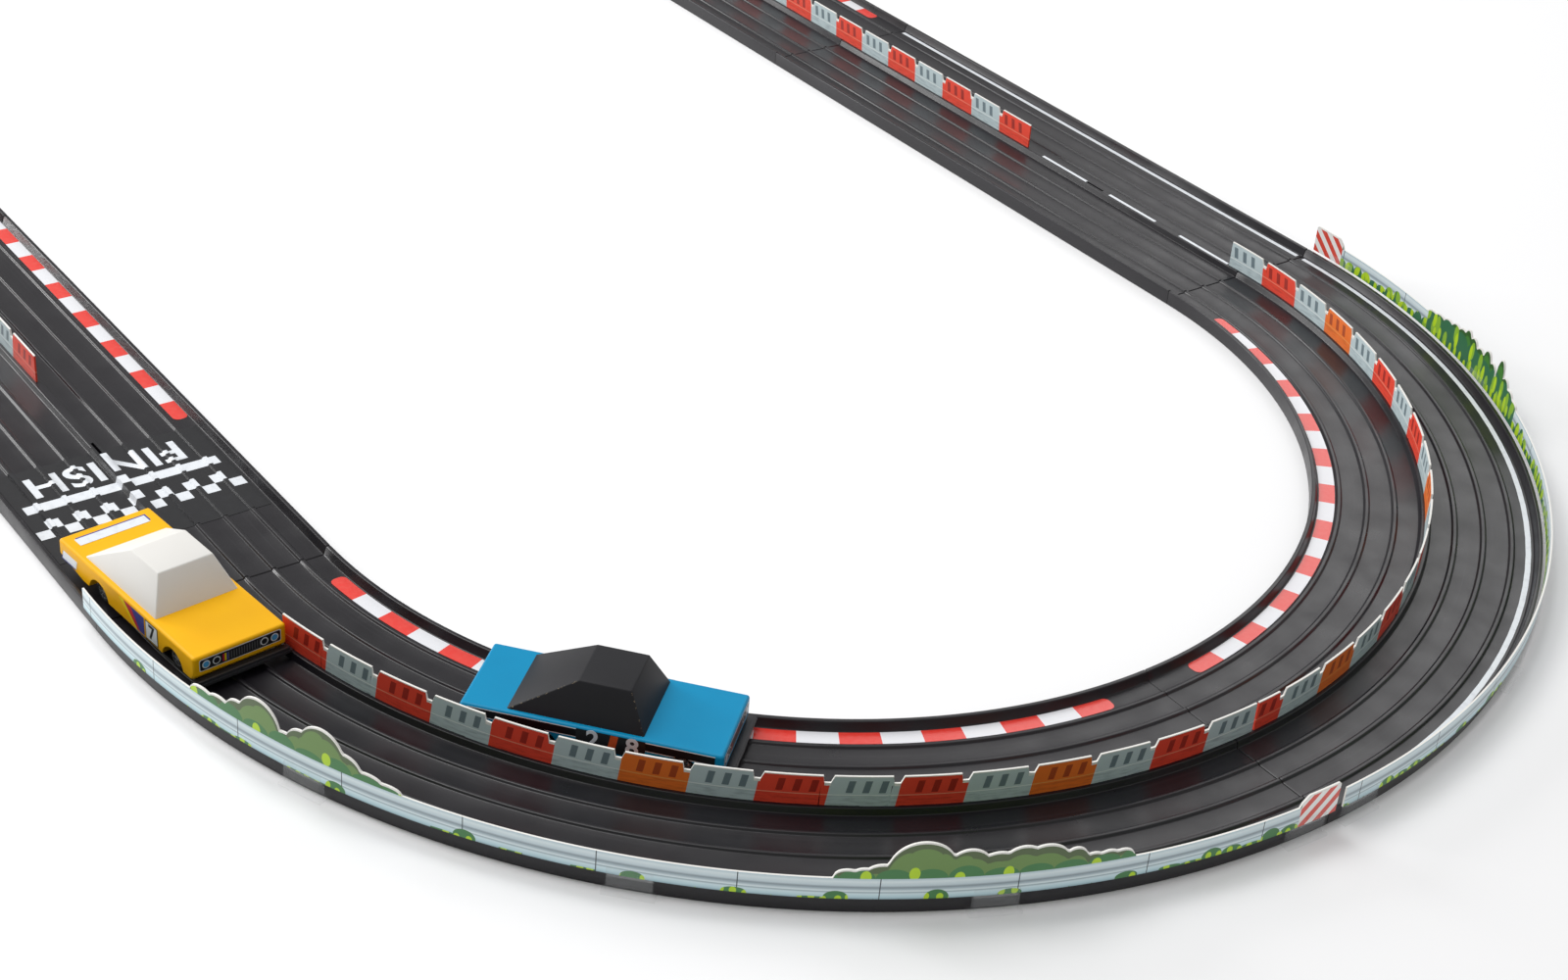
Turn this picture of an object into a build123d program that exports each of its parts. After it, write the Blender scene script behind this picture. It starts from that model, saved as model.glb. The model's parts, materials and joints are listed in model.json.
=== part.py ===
"""Two-lane toy car racing circuit: eight track sections, printed barriers, two wooden cars.

All sizes are millimetres. The origin is on the floor in the middle of the oval, X runs along
the two straights, Y across the oval and Z up.
"""
import math
import os

from build123d import *

os.makedirs("parts", exist_ok=True)

# circuit
INNER_RADIUS = 240.0
TRACK_WIDTH = 103.0
OUTER_RADIUS = INNER_RADIUS + TRACK_WIDTH
MEDIAN_RADIUS = INNER_RADIUS + TRACK_WIDTH / 2
STRAIGHT = 345.6
BEND_X = STRAIGHT
SEAM_GAP = 0.3

# section through the track
WALL_HEIGHT = 7.6
WALL_TOP = 1.85
WALL_FOOT = 3.2
WALL_BASE = 2.0
DECK_TOP = 3.7
DECK_UNDER = 1.9
MEDIAN_TOP = 6.7
MEDIAN_HALF_TOP = 1.95
MEDIAN_HALF_FOOT = 2.7
RIB_TOP = 4.6
RIB_HALF_TOP = 0.8
RIB_HALF_FOOT = 1.35
RIB_FIRST = 13.4
RIB_PITCH = 12.6
LANE_MIDDLE = RIB_FIRST + RIB_PITCH
STICKER = 0.12

# slots in the median and the tabs that plug into them
SLOT_LENGTH = 15.6
SLOT_WIDTH = 1.3
TAB_LENGTH = 15.0
TAB_BOTTOM = 2.6

# section connectors
TONGUE_WIDTH = 12.0
TONGUE_REACH = 14.0
TONGUE_BOTTOM = 0.5
TONGUE_TOP = 1.8
GUIDE_GAP = 0.3
GUIDE_WIDTH = 1.6
CROSS_BAR = 1.8

# barrier cards
CARD_THICKNESS = 0.8
CARD_BOTTOM = 6.75
CARD_TOP = 20.4
BLOCK = 26.0
BLOCK_ANGLE = math.degrees(BLOCK / MEDIAN_RADIUS)
NEAR_CARD_END = 162.0
FAR_CARD_END = 174.6
CARD_ONE_START = -79.9
CARD_ONE_BLOCKS = 16
CARD_TWO_START = 2.1
CARD_TWO_END = 91.5
CARD_TWO_NOTCH = 4.97
NOTCH_DEPTH = 3.2
NOTCH_LOW = 2.4
NOTCH_HIGH = 4.2

# scenery boards and their clear clips
BOARD_RADIUS = OUTER_RADIUS + 1.2
BOARD_THICKNESS = 0.8
BOARD_BOTTOM = 6.8
RAIL_TOP = 16.4
PANEL_TOP = 21.4
BUSH_LIMIT = 33.0
CLIP_WIDTH = 20.0
CLIP_FOOT = 1.2
CLIP_REACH = 4.6
CLIP_TOP = 11.0
CLIP_UNDER = 8.0
BOARD_ONE_CLIPS = [-67.8 + 21.8 * n for n in range(4)]
BOARD_TWO_CLIPS = [2.5 + 20.9 * n for n in range(5)]

# cars
BODY_LENGTH = 103.0
BODY_WIDTH = 41.2
BODY_BOTTOM = 8.4
BODY_TOP = 18.8
BODY_EDGE = 1.2
CABIN_REAR = -34.0
CABIN_FRONT = 20.5
CABIN_HALF_WIDTH = 18.6
ROOF_REAR = -7.5
ROOF_FRONT = 13.0
ROOF_HALF_WIDTH = 12.2
ROOF_TOP = 34.0
REAR_AXLE_X = -20.4
FRONT_AXLE_X = 35.7
AXLE_Z = 9.4
AXLE_RADIUS = 1.0
AXLE_LENGTH = 36.0
BEARING_PLAY = 0.05
TYRE_RADIUS = 4.75
RIM_RADIUS = 3.3
TYRE_INNER = 12.6
TYRE_OUTER = 18.6
ARCH_RADIUS = 7.9
ARCH_Z = 6.7
POCKET_TOP = 16.4
POCKET_HALF_WIDTH = 12.0
CHASSIS_BOTTOM = 6.6
CHASSIS_REAR = -36.0
CHASSIS_FRONT = 42.0
CHASSIS_HALF_WIDTH = 15.5
BEARING_WIDTH = 1.6
BLADE_REAR = 50.0
BLADE_FRONT = 55.0
BLADE_HALF_WIDTH = 21.2
BLADE_BOTTOM = 7.0
BLADE_TOP = 8.2
BLADE_LIP_TOP = 9.4

SCREW_SPOTS = ((-32.0, 0.0), (25.4, 0.0), (46.4, 0.0))
SCREW_RADIUS = 0.9
SCREW_HEAD = 1.7
SCREW_HEAD_DEPTH = 0.9
SCREW_REACH = 6.0
GRILLE_LOW = 11.8
GRILLE_HIGH = 17.3
GRILLE_HALF_WIDTH = 18.2

# drive
GEAR_MODULE = 0.4
GEAR_TEETH = 18
PINION_TEETH = 9
GEAR_Y = -8.6
GEAR_FACE = 1.6
PINION_END_Y = -9.6
BEARINGS = ((REAR_AXLE_X, 9.6), (REAR_AXLE_X, -11.5), (FRONT_AXLE_X, 9.6), (FRONT_AXLE_X, -11.2))
CENTRE_DISTANCE = GEAR_MODULE * (GEAR_TEETH + PINION_TEETH) / 2
MOTOR_RISE = 35.0
MOTOR_RADIUS = 3.5
MOTOR_X = REAR_AXLE_X + CENTRE_DISTANCE * math.cos(math.radians(MOTOR_RISE))
MOTOR_Z = AXLE_Z + CENTRE_DISTANCE * math.sin(math.radians(MOTOR_RISE))
MOTOR_REAR_Y = 9.0
MOTOR_CAP_Y = 7.4
MOTOR_FACE_Y = -7.0
SHAFT_RADIUS = 0.5
BATTERY_TOP = 14.0
SWITCH_X = 3.6
SWITCH_Y = 9.6
SWITCH_TRAVEL = 2.0


def save(part, name):
    """Label a finished piece and write it under its own name."""
    part.label = name
    export_step(part, f"parts/{name}.step")


def radial_plane(bend_x, angle):
    """Plane through a bend's centre: local X outwards, local Y up."""
    a = math.radians(angle)
    return Plane(
        origin=(bend_x, 0, 0),
        x_dir=(math.cos(a), math.sin(a), 0),
        z_dir=(math.sin(a), -math.cos(a), 0),
    )


def tangent_plane(bend_x, angle, radius):
    """Upright plane that touches a bend's circle: local X along the bend, local Y up."""
    a = math.radians(angle)
    return Plane(
        origin=(bend_x + radius * math.cos(a), radius * math.sin(a), 0),
        x_dir=(-math.sin(a), math.cos(a), 0),
        z_dir=(math.cos(a), math.sin(a), 0),
    )


def straight_plane(x, side):
    """Upright plane across a straight: local X outwards from the oval's middle, local Y up."""
    return Plane(origin=(x, 0, 0), x_dir=(0, side, 0), z_dir=(side, 0, 0))


def card_plane(x, side, radius):
    """Upright plane along a straight at a distance from the middle: local X along the straight."""
    return Plane(origin=(x, side * radius, 0), x_dir=(-side, 0, 0), z_dir=(0, side, 0))


def rib_centres():
    """Distances of the six running ribs from the oval's middle line."""
    steps = [RIB_FIRST + RIB_PITCH * n for n in range(3)]
    return [MEDIAN_RADIUS - s for s in reversed(steps)] + [MEDIAN_RADIUS + s for s in steps]


def deck_line(start, end):
    """Points along the deck's upper face, over the ribs and the median, from start to end."""
    points = [(start, DECK_TOP)]
    ridges = [(c, RIB_HALF_FOOT, RIB_HALF_TOP, RIB_TOP) for c in rib_centres()]
    ridges.append((MEDIAN_RADIUS, MEDIAN_HALF_FOOT, MEDIAN_HALF_TOP, MEDIAN_TOP))
    for centre, foot, top, height in sorted(ridges):
        if centre - foot > start and centre + foot < end:
            points += [(centre - foot, DECK_TOP), (centre - top, height)]
            points += [(centre + top, height), (centre + foot, DECK_TOP)]
    points.append((end, DECK_TOP))
    return points


def track_outline():
    """Closed section through the track: two walls, the ribbed deck and the hollow underside."""
    outline = [(INNER_RADIUS, 0), (INNER_RADIUS, WALL_HEIGHT), (INNER_RADIUS + WALL_TOP, WALL_HEIGHT)]
    outline += deck_line(INNER_RADIUS + WALL_FOOT, OUTER_RADIUS - WALL_FOOT)
    outline += [(OUTER_RADIUS - WALL_TOP, WALL_HEIGHT), (OUTER_RADIUS, WALL_HEIGHT), (OUTER_RADIUS, 0)]
    outline += [(OUTER_RADIUS - WALL_BASE, 0), (OUTER_RADIUS - WALL_BASE, DECK_UNDER)]
    outline += [(INNER_RADIUS + WALL_BASE, DECK_UNDER), (INNER_RADIUS + WALL_BASE, 0)]
    return outline


def tongue_rows():
    """Distances of the two connector tongues from the oval's middle line."""
    return (MEDIAN_RADIUS - LANE_MIDDLE, MEDIAN_RADIUS + LANE_MIDDLE)


def straight_section(name, x_low, side):
    """One straight, from x_low to x_low + STRAIGHT, on the side +1 or -1 of the oval."""
    along = -side
    x_first = x_low if side < 0 else x_low + STRAIGHT
    length = STRAIGHT - SEAM_GAP
    with BuildPart() as section:
        with BuildSketch(straight_plane(x_first + along * SEAM_GAP / 2, side)):
            with BuildLine():
                Polyline(*track_outline(), close=True)
            make_face()
        extrude(amount=-length)
        for share in (0.1, 0.5, 0.9):
            x_bar = x_low + STRAIGHT * share
            with BuildSketch(straight_plane(x_bar, side)):
                with Locations((MEDIAN_RADIUS, (TONGUE_BOTTOM + DECK_UNDER) / 2)):
                    Rectangle(TRACK_WIDTH - 2 * WALL_BASE, DECK_UNDER - TONGUE_BOTTOM)
            extrude(amount=CROSS_BAR / 2, both=True)
        x_last = x_first + along * (STRAIGHT - SEAM_GAP / 2)
        for row in tongue_rows():
            with BuildSketch(straight_plane(x_last, side)):
                with Locations((row, (TONGUE_BOTTOM + DECK_UNDER) / 2)):
                    Rectangle(TONGUE_WIDTH, DECK_UNDER - TONGUE_BOTTOM)
            extrude(amount=TONGUE_REACH)
            with BuildSketch(straight_plane(x_last, side)):
                with Locations((row, (TONGUE_BOTTOM + TONGUE_TOP) / 2)):
                    Rectangle(TONGUE_WIDTH, TONGUE_TOP - TONGUE_BOTTOM)
            extrude(amount=-TONGUE_REACH)
            guide = TONGUE_WIDTH / 2 + GUIDE_GAP + GUIDE_WIDTH / 2
            with BuildSketch(straight_plane(x_first + along * SEAM_GAP / 2, side)):
                with Locations((row - guide, 1.2), (row + guide, 1.2)):
                    Rectangle(GUIDE_WIDTH, 1.4)
            extrude(amount=-TONGUE_REACH)
        for share in (1 / 3, 2 / 3):
            with BuildSketch(Plane.XY):
                with Locations((x_low + STRAIGHT * share, side * MEDIAN_RADIUS)):
                    Rectangle(SLOT_LENGTH, SLOT_WIDTH)
            extrude(amount=MEDIAN_TOP + 1, mode=Mode.SUBTRACT)
    save(section.part, name)


def bend_section(name, bend_x, start, clip_angles):
    """One quarter bend from the start angle on, notched at the outer wall for the board clips."""
    gap = math.degrees(SEAM_GAP / 2 / MEDIAN_RADIUS)
    axis = Axis((bend_x, 0, 0), (0, 0, 1))
    reach = math.degrees(TONGUE_REACH / MEDIAN_RADIUS)
    with BuildPart() as section:
        with BuildSketch(radial_plane(bend_x, start + gap)):
            with BuildLine():
                Polyline(*track_outline(), close=True)
            make_face()
        revolve(axis=axis, revolution_arc=90 - 2 * gap)
        for share in (0.125, 0.375, 0.615, 0.86):
            with BuildSketch(radial_plane(bend_x, start + 90 * share)):
                with Locations((MEDIAN_RADIUS, (TONGUE_BOTTOM + DECK_UNDER) / 2)):
                    Rectangle(TRACK_WIDTH - 2 * WALL_BASE, DECK_UNDER - TONGUE_BOTTOM)
            extrude(amount=CROSS_BAR / 2, both=True)
        end = radial_plane(bend_x, start + 90 - gap)
        for row in tongue_rows():
            with BuildSketch(end):
                with Locations((row, (TONGUE_BOTTOM + TONGUE_TOP) / 2)):
                    Rectangle(TONGUE_WIDTH, TONGUE_TOP - TONGUE_BOTTOM)
            extrude(amount=-TONGUE_REACH)
            with BuildSketch(end):
                with Locations((row, (TONGUE_BOTTOM + DECK_UNDER) / 2)):
                    Rectangle(TONGUE_WIDTH, DECK_UNDER - TONGUE_BOTTOM)
            extrude(amount=TONGUE_REACH)
            guide = TONGUE_WIDTH / 2 + GUIDE_GAP + 0.6 + GUIDE_WIDTH / 2
            with BuildSketch(radial_plane(bend_x, start + gap)):
                with Locations((row - guide, 1.2), (row + guide, 1.2)):
                    Rectangle(GUIDE_WIDTH, 1.4)
            revolve(axis=axis, revolution_arc=reach)
        for share in (1 / 3, 2 / 3):
            a = math.radians(start + 90 * share)
            x = bend_x + MEDIAN_RADIUS * math.cos(a)
            with BuildSketch(Plane.XY):
                with Locations(Location((x, MEDIAN_RADIUS * math.sin(a), 0), start + 90 * share + 90)):
                    Rectangle(SLOT_LENGTH, SLOT_WIDTH)
            extrude(amount=MEDIAN_TOP + 1, mode=Mode.SUBTRACT)
        for angle in clip_angles:
            with BuildSketch(tangent_plane(bend_x, angle, OUTER_RADIUS - WALL_BASE - 1)):
                with Locations((0, CLIP_FOOT / 2)):
                    Rectangle(CLIP_WIDTH + 0.6, CLIP_FOOT + 0.4)
            extrude(amount=WALL_BASE + 2, mode=Mode.SUBTRACT)
    save(section.part, name)


def notch_outline():
    """Gap between two barrier blocks, open at the top: one steep side and one slanted side."""
    left = -NOTCH_HIGH / 2
    bottom = CARD_TOP - NOTCH_DEPTH
    above = CARD_TOP + 1
    return [(left, above), (left + 0.5, bottom), (left + 0.5 + NOTCH_LOW, bottom), (-left, above)]


def straight_card(name, x_low, blocks, side, slots):
    """Flat barrier card of a number of blocks, with a tab down into each median slot."""
    length = blocks * BLOCK
    middle = x_low + length / 2
    with BuildPart() as card:
        with BuildSketch(card_plane(middle, side, MEDIAN_RADIUS)):
            with Locations((0, (CARD_BOTTOM + CARD_TOP) / 2)):
                Rectangle(length, CARD_TOP - CARD_BOTTOM)
        extrude(amount=CARD_THICKNESS / 2, both=True)
        for x in slots:
            with BuildSketch(card_plane(x, side, MEDIAN_RADIUS)):
                with Locations((0, (TAB_BOTTOM + CARD_BOTTOM) / 2)):
                    Rectangle(TAB_LENGTH, CARD_BOTTOM - TAB_BOTTOM)
            extrude(amount=CARD_THICKNESS / 2, both=True)
        for n in range(1, blocks):
            with BuildSketch(card_plane(x_low + n * BLOCK, side, MEDIAN_RADIUS)):
                with BuildLine():
                    Polyline(*notch_outline(), close=True)
                make_face()
            extrude(amount=CARD_THICKNESS, both=True, mode=Mode.SUBTRACT)
    save(card.part, name)


def bend_card(name, bend_x, start, end, first_notch, slots):
    """Barrier card bent along the median of a bend, with a tab down into each median slot."""
    axis = Axis((bend_x, 0, 0), (0, 0, 1))
    notches = math.ceil((end - first_notch) / BLOCK_ANGLE)
    tab = math.degrees(TAB_LENGTH / MEDIAN_RADIUS)
    with BuildPart() as card:
        with BuildSketch(radial_plane(bend_x, start)):
            with Locations((MEDIAN_RADIUS, (CARD_BOTTOM + CARD_TOP) / 2)):
                Rectangle(CARD_THICKNESS, CARD_TOP - CARD_BOTTOM)
        revolve(axis=axis, revolution_arc=end - start)
        for angle in slots:
            with BuildSketch(radial_plane(bend_x, angle - tab / 2)):
                with Locations((MEDIAN_RADIUS, (TAB_BOTTOM + CARD_BOTTOM) / 2)):
                    Rectangle(CARD_THICKNESS, CARD_BOTTOM - TAB_BOTTOM)
            revolve(axis=axis, revolution_arc=tab)
        for n in range(notches):
            with BuildSketch(tangent_plane(bend_x, first_notch + n * BLOCK_ANGLE, MEDIAN_RADIUS)):
                with BuildLine():
                    Polyline(*notch_outline(), close=True)
                make_face()
            extrude(amount=CARD_THICKNESS, both=True, mode=Mode.SUBTRACT)
    save(card.part, name)


def bush_solid(bend_x, angle, width, height):
    """Rounded bush that stands above the rail: a lobed outline cut out of the board's curve."""
    lobes = 5
    with BuildPart() as bush:
        with BuildSketch(tangent_plane(bend_x, angle, BOARD_RADIUS)):
            with Locations((0, RAIL_TOP - 2)):
                Rectangle(width * 0.9, 6)
            for n in range(lobes):
                share = n / (lobes - 1)
                rise = height * (0.35 + 0.4 * math.sin(math.pi * share))
                with Locations(((share - 0.5) * width * 0.74, RAIL_TOP + rise - height * 0.25)):
                    Ellipse(width * 0.13, height * 0.5)
        extrude(amount=8, both=True)
        with BuildSketch(radial_plane(bend_x, angle - 20)):
            with Locations((BOARD_RADIUS + BOARD_THICKNESS / 2, (BOARD_BOTTOM + BUSH_LIMIT) / 2)):
                Rectangle(BOARD_THICKNESS, BUSH_LIMIT - BOARD_BOTTOM)
        revolve(axis=Axis((bend_x, 0, 0), (0, 0, 1)), revolution_arc=40, mode=Mode.INTERSECT)
    return bush.part


def scenery_board(name, bend_x, start, arc, bushes, panel_at_end):
    """Board outside the outer wall: crash rail, bushes above it, hazard panel at one end."""
    axis = Axis((bend_x, 0, 0), (0, 0, 1))
    panel = 3.3
    panel_start = start + arc - panel if panel_at_end else start
    middle = BOARD_RADIUS + BOARD_THICKNESS / 2
    with BuildPart() as board:
        with BuildSketch(radial_plane(bend_x, start)):
            with Locations((middle, (BOARD_BOTTOM + RAIL_TOP) / 2)):
                Rectangle(BOARD_THICKNESS, RAIL_TOP - BOARD_BOTTOM)
        revolve(axis=axis, revolution_arc=arc)
        with BuildSketch(radial_plane(bend_x, panel_start)):
            with Locations((middle, (RAIL_TOP + PANEL_TOP) / 2 - 0.5)):
                Rectangle(BOARD_THICKNESS, PANEL_TOP - RAIL_TOP + 1)
        revolve(axis=axis, revolution_arc=panel)
        for angle, width, height in bushes:
            add(bush_solid(bend_x, angle, width, height))
    save(board.part, name)


def clip_solid(bend_x, angle):
    """Clear clip: a foot through the wall's notch and a grooved riser that grips the board."""
    with BuildPart() as clip:
        with BuildSketch(tangent_plane(bend_x, angle, OUTER_RADIUS - CLIP_UNDER)):
            with Locations((0, CLIP_FOOT / 2)):
                Rectangle(CLIP_WIDTH, CLIP_FOOT)
        extrude(amount=CLIP_UNDER + CLIP_REACH)
        with BuildSketch(radial_plane(bend_x, angle - 1.4)):
            with Locations((OUTER_RADIUS + 1.75, CLIP_TOP / 2)):
                Rectangle(2.9, CLIP_TOP)
        revolve(axis=Axis((bend_x, 0, 0), (0, 0, 1)), revolution_arc=2.8)
        with BuildSketch(radial_plane(bend_x, angle - 3)):
            with Locations((BOARD_RADIUS + BOARD_THICKNESS / 2, BOARD_BOTTOM + 5)):
                Rectangle(BOARD_THICKNESS, 10)
        revolve(axis=Axis((bend_x, 0, 0), (0, 0, 1)), revolution_arc=6, mode=Mode.SUBTRACT)
    return clip.part


def kerb_solid(bend_x, start, end):
    """Kerb sticker on the inner shoulder of a bend, with rounded ends."""
    axis = Axis((bend_x, 0, 0), (0, 0, 1))
    with BuildPart() as kerb:
        with BuildSketch(radial_plane(bend_x, start)):
            with Locations((INNER_RADIUS + 7.5, DECK_TOP + STICKER / 2)):
                Rectangle(7.2, STICKER)
        revolve(axis=axis, revolution_arc=end - start)
    return kerb.part


def plate_solid(x_low, x_high, y_low, y_high, bottom):
    """Thin rectangular sticker lying on a level face."""
    with BuildPart() as plate:
        with BuildSketch(Plane.XY.offset(bottom)):
            with Locations(((x_low + x_high) / 2, (y_low + y_high) / 2)):
                Rectangle(x_high - x_low, y_high - y_low)
        extrude(amount=STICKER)
    return plate.part


# ---------------------------------------------------------------- track sections
for index, x_low in enumerate((0.0, -STRAIGHT)):
    straight_section(f"near_straight_{index + 1}", x_low, -1)
    straight_section(f"far_straight_{index + 1}", x_low, 1)
bend_section("right_bend_1", BEND_X, -90, BOARD_ONE_CLIPS)
bend_section("right_bend_2", BEND_X, 0, BOARD_TWO_CLIPS)
bend_section("left_bend_1", -BEND_X, 90, [a + 180 for a in BOARD_ONE_CLIPS])
bend_section("left_bend_2", -BEND_X, 180, [a + 180 for a in BOARD_TWO_CLIPS])

# ---------------------------------------------------------------- barrier cards
third = STRAIGHT / 3
straight_card("near_barrier", NEAR_CARD_END - 16 * BLOCK, 16, -1, (third, -third, -2 * third))
straight_card("far_barrier", FAR_CARD_END - 16 * BLOCK, 16, 1, (third, -third, -2 * third))
for end_name, bend_x, turn in (("right", BEND_X, 0), ("left", -BEND_X, 180)):
    first = turn + CARD_ONE_START
    last = first + CARD_ONE_BLOCKS * BLOCK_ANGLE
    bend_card(f"{end_name}_barrier_1", bend_x, first, last, first + BLOCK_ANGLE, (turn - 60, turn - 30))
    first = turn + CARD_TWO_START
    last = turn + CARD_TWO_END
    bend_card(f"{end_name}_barrier_2", bend_x, first, last, turn + CARD_TWO_NOTCH, (turn + 30, turn + 60))

# ---------------------------------------------------------------- scenery boards and clips
low_bushes = [(-75.6, 22, 5), (-71.3, 30, 15), (-66.3, 32, 15.5), (-62.3, 18, 4),
              (-31.8, 26, 9), (-28.5, 30, 16.4), (-23.6, 40, 12), (-18.4, 34, 6)]
high_bushes = [(71.8, 30, 4), (69.4, 26, 6), (67.6, 22, 9), (64.6, 22, 9.5), (61.8, 24, 13), (59.4, 24, 7)]
for end_name, bend_x, turn in (("right", BEND_X, 0), ("left", -BEND_X, 180)):
    turned_low = [(a + turn, w, h) for a, w, h in low_bushes]
    turned_high = [(a + turn, w, h) for a, w, h in high_bushes]
    scenery_board(f"{end_name}_scenery_1", bend_x, turn - 91.2, 91.3, turned_low, True)
    scenery_board(f"{end_name}_scenery_2", bend_x, turn + 0.8, 88.8, turned_high, True)

clip_group = []
for bend_x, turn in ((BEND_X, 0), (-BEND_X, 180)):
    for angle in BOARD_ONE_CLIPS + BOARD_TWO_CLIPS:
        clip_group.append(clip_solid(bend_x, angle + turn))
save(Compound(children=clip_group), "board_clips")

# ---------------------------------------------------------------- stickers on the deck
kerb_group = [kerb_solid(x, turn + a, turn + b) for x, turn in ((BEND_X, 0), (-BEND_X, 180))
              for a, b in ((-85.8, -5.4), (4.9, 83.2))]
KERB_IN = INNER_RADIUS + WALL_FOOT + 0.3
KERB_OUT = INNER_RADIUS + 10.4
kerb_group.append(plate_solid(-STRAIGHT + 60, 217.8, -KERB_OUT, -KERB_IN, DECK_TOP))
kerb_group.append(plate_solid(-217.8, -26.0, OUTER_RADIUS - 10.4, OUTER_RADIUS - 3.5, DECK_TOP))
save(Compound(children=kerb_group), "kerb_stickers")

LINE_IN = 336.2
LINE_OUT = 338.6
line_group = [plate_solid(2.0, STRAIGHT - 2.0, LINE_IN, LINE_OUT, DECK_TOP)]
with BuildPart() as bend_line:
    with BuildSketch(radial_plane(BEND_X, 4)):
        with Locations(((LINE_IN + LINE_OUT) / 2, DECK_TOP + STICKER / 2)):
            Rectangle(LINE_OUT - LINE_IN, STICKER)
    revolve(axis=Axis((BEND_X, 0, 0), (0, 0, 1)), revolution_arc=85.6)
line_group.append(bend_line.part)
for n in range(3):
    dash = 187.6 + 56.0 * n
    line_group.append(plate_solid(dash, dash + 37, MEDIAN_RADIUS - 0.9, MEDIAN_RADIUS + 0.9, MEDIAN_TOP))
save(Compound(children=line_group), "line_stickers")

# start and finish sticker, draped over the ribs of the near straight
FINISH_LOW = 226.0
FINISH_HIGH = 300.0
with BuildPart() as finish:
    lower = deck_line(INNER_RADIUS + 4.2, OUTER_RADIUS - 4.2)
    upper = [(r, z + STICKER) for r, z in reversed(lower)]
    with BuildSketch(straight_plane(FINISH_HIGH, -1)):
        with BuildLine():
            Polyline(*lower, *upper, close=True)
        make_face()
    extrude(amount=FINISH_HIGH - FINISH_LOW)
    with BuildSketch(Plane.XY):
        with Locations((2 * third, -MEDIAN_RADIUS)):
            Rectangle(SLOT_LENGTH + 0.8, SLOT_WIDTH + 0.8)
    extrude(amount=MEDIAN_TOP + 1, mode=Mode.SUBTRACT)
save(finish.part, "finish_sticker")


# ---------------------------------------------------------------- cars
def side_plane(car, x, y, z):
    """Upright plane along the car at a point of it: local X forwards, local Y up."""
    return Plane(origin=car.from_local_coords((x, y, z)), x_dir=car.x_dir, z_dir=-car.y_dir)


def nose_plane(car, x):
    """Upright plane across the car: local X to its left, local Y up."""
    return Plane(origin=car.from_local_coords((x, 0, 0)), x_dir=car.y_dir, z_dir=car.x_dir)


def body_piece(car):
    """Wooden block with eased edges, arches for the wheels and a pocket for the drive."""
    half = BODY_LENGTH / 2
    outline = [(-half, 11.6), (-half, BODY_TOP), (half, BODY_TOP), (half, 10.2)]
    outline += [(half - 1.6, BODY_BOTTOM), (-37.0, BODY_BOTTOM)]
    with BuildPart() as body:
        with BuildSketch(side_plane(car, 0, 0, 0)):
            with BuildLine():
                Polyline(*outline, close=True)
            make_face()
        extrude(amount=BODY_WIDTH / 2, both=True)
        low_edges = body.edges().filter_by(lambda e: e.center().Z < BODY_BOTTOM + 0.1)
        fillet(body.edges() - low_edges, radius=BODY_EDGE)
        with BuildSketch(side_plane(car, 0, 0, ARCH_Z)):
            with Locations((REAR_AXLE_X, 0), (FRONT_AXLE_X, 0)):
                Circle(ARCH_RADIUS)
        extrude(amount=BODY_WIDTH, both=True, mode=Mode.SUBTRACT)
        with BuildSketch(car.offset(BODY_BOTTOM - 1)):
            with Locations((-2.0, 0)):
                Rectangle(50.0, 2 * POCKET_HALF_WIDTH)
        extrude(amount=POCKET_TOP - BODY_BOTTOM + 1, mode=Mode.SUBTRACT)
        with BuildSketch(car.offset(BODY_BOTTOM - 1)):
            with Locations(*SCREW_SPOTS):
                Circle(SCREW_RADIUS)
        extrude(amount=SCREW_REACH + 1, mode=Mode.SUBTRACT)
    return body.part


def cabin_piece(car):
    """Faceted wooden cabin: a long low pyramid with its top cut off."""
    with BuildPart() as cabin:
        with BuildSketch(car.offset(BODY_TOP)):
            with Locations(((CABIN_REAR + CABIN_FRONT) / 2, 0)):
                Rectangle(CABIN_FRONT - CABIN_REAR, 2 * CABIN_HALF_WIDTH)
        with BuildSketch(car.offset(ROOF_TOP)):
            with Locations(((ROOF_REAR + ROOF_FRONT) / 2, 0)):
                Rectangle(ROOF_FRONT - ROOF_REAR, 2 * ROOF_HALF_WIDTH)
        loft()
    return cabin.part


def bearing_post(car, x, y_low, y_high):
    """Post that stands on the floor plate and carries an axle in a running bore."""
    low = BODY_BOTTOM - 0.2
    outline = [(-2.6, low), (2.6, low), (2.1, AXLE_Z + 2.2), (-2.1, AXLE_Z + 2.2)]
    with BuildPart() as post:
        with BuildSketch(side_plane(car, x, y_high, 0)):
            with BuildLine():
                Polyline(*outline, close=True)
            make_face()
            with Locations((0, AXLE_Z)):
                Circle(AXLE_RADIUS + BEARING_PLAY, mode=Mode.SUBTRACT)
        extrude(amount=y_high - y_low)
    return post.part


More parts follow.
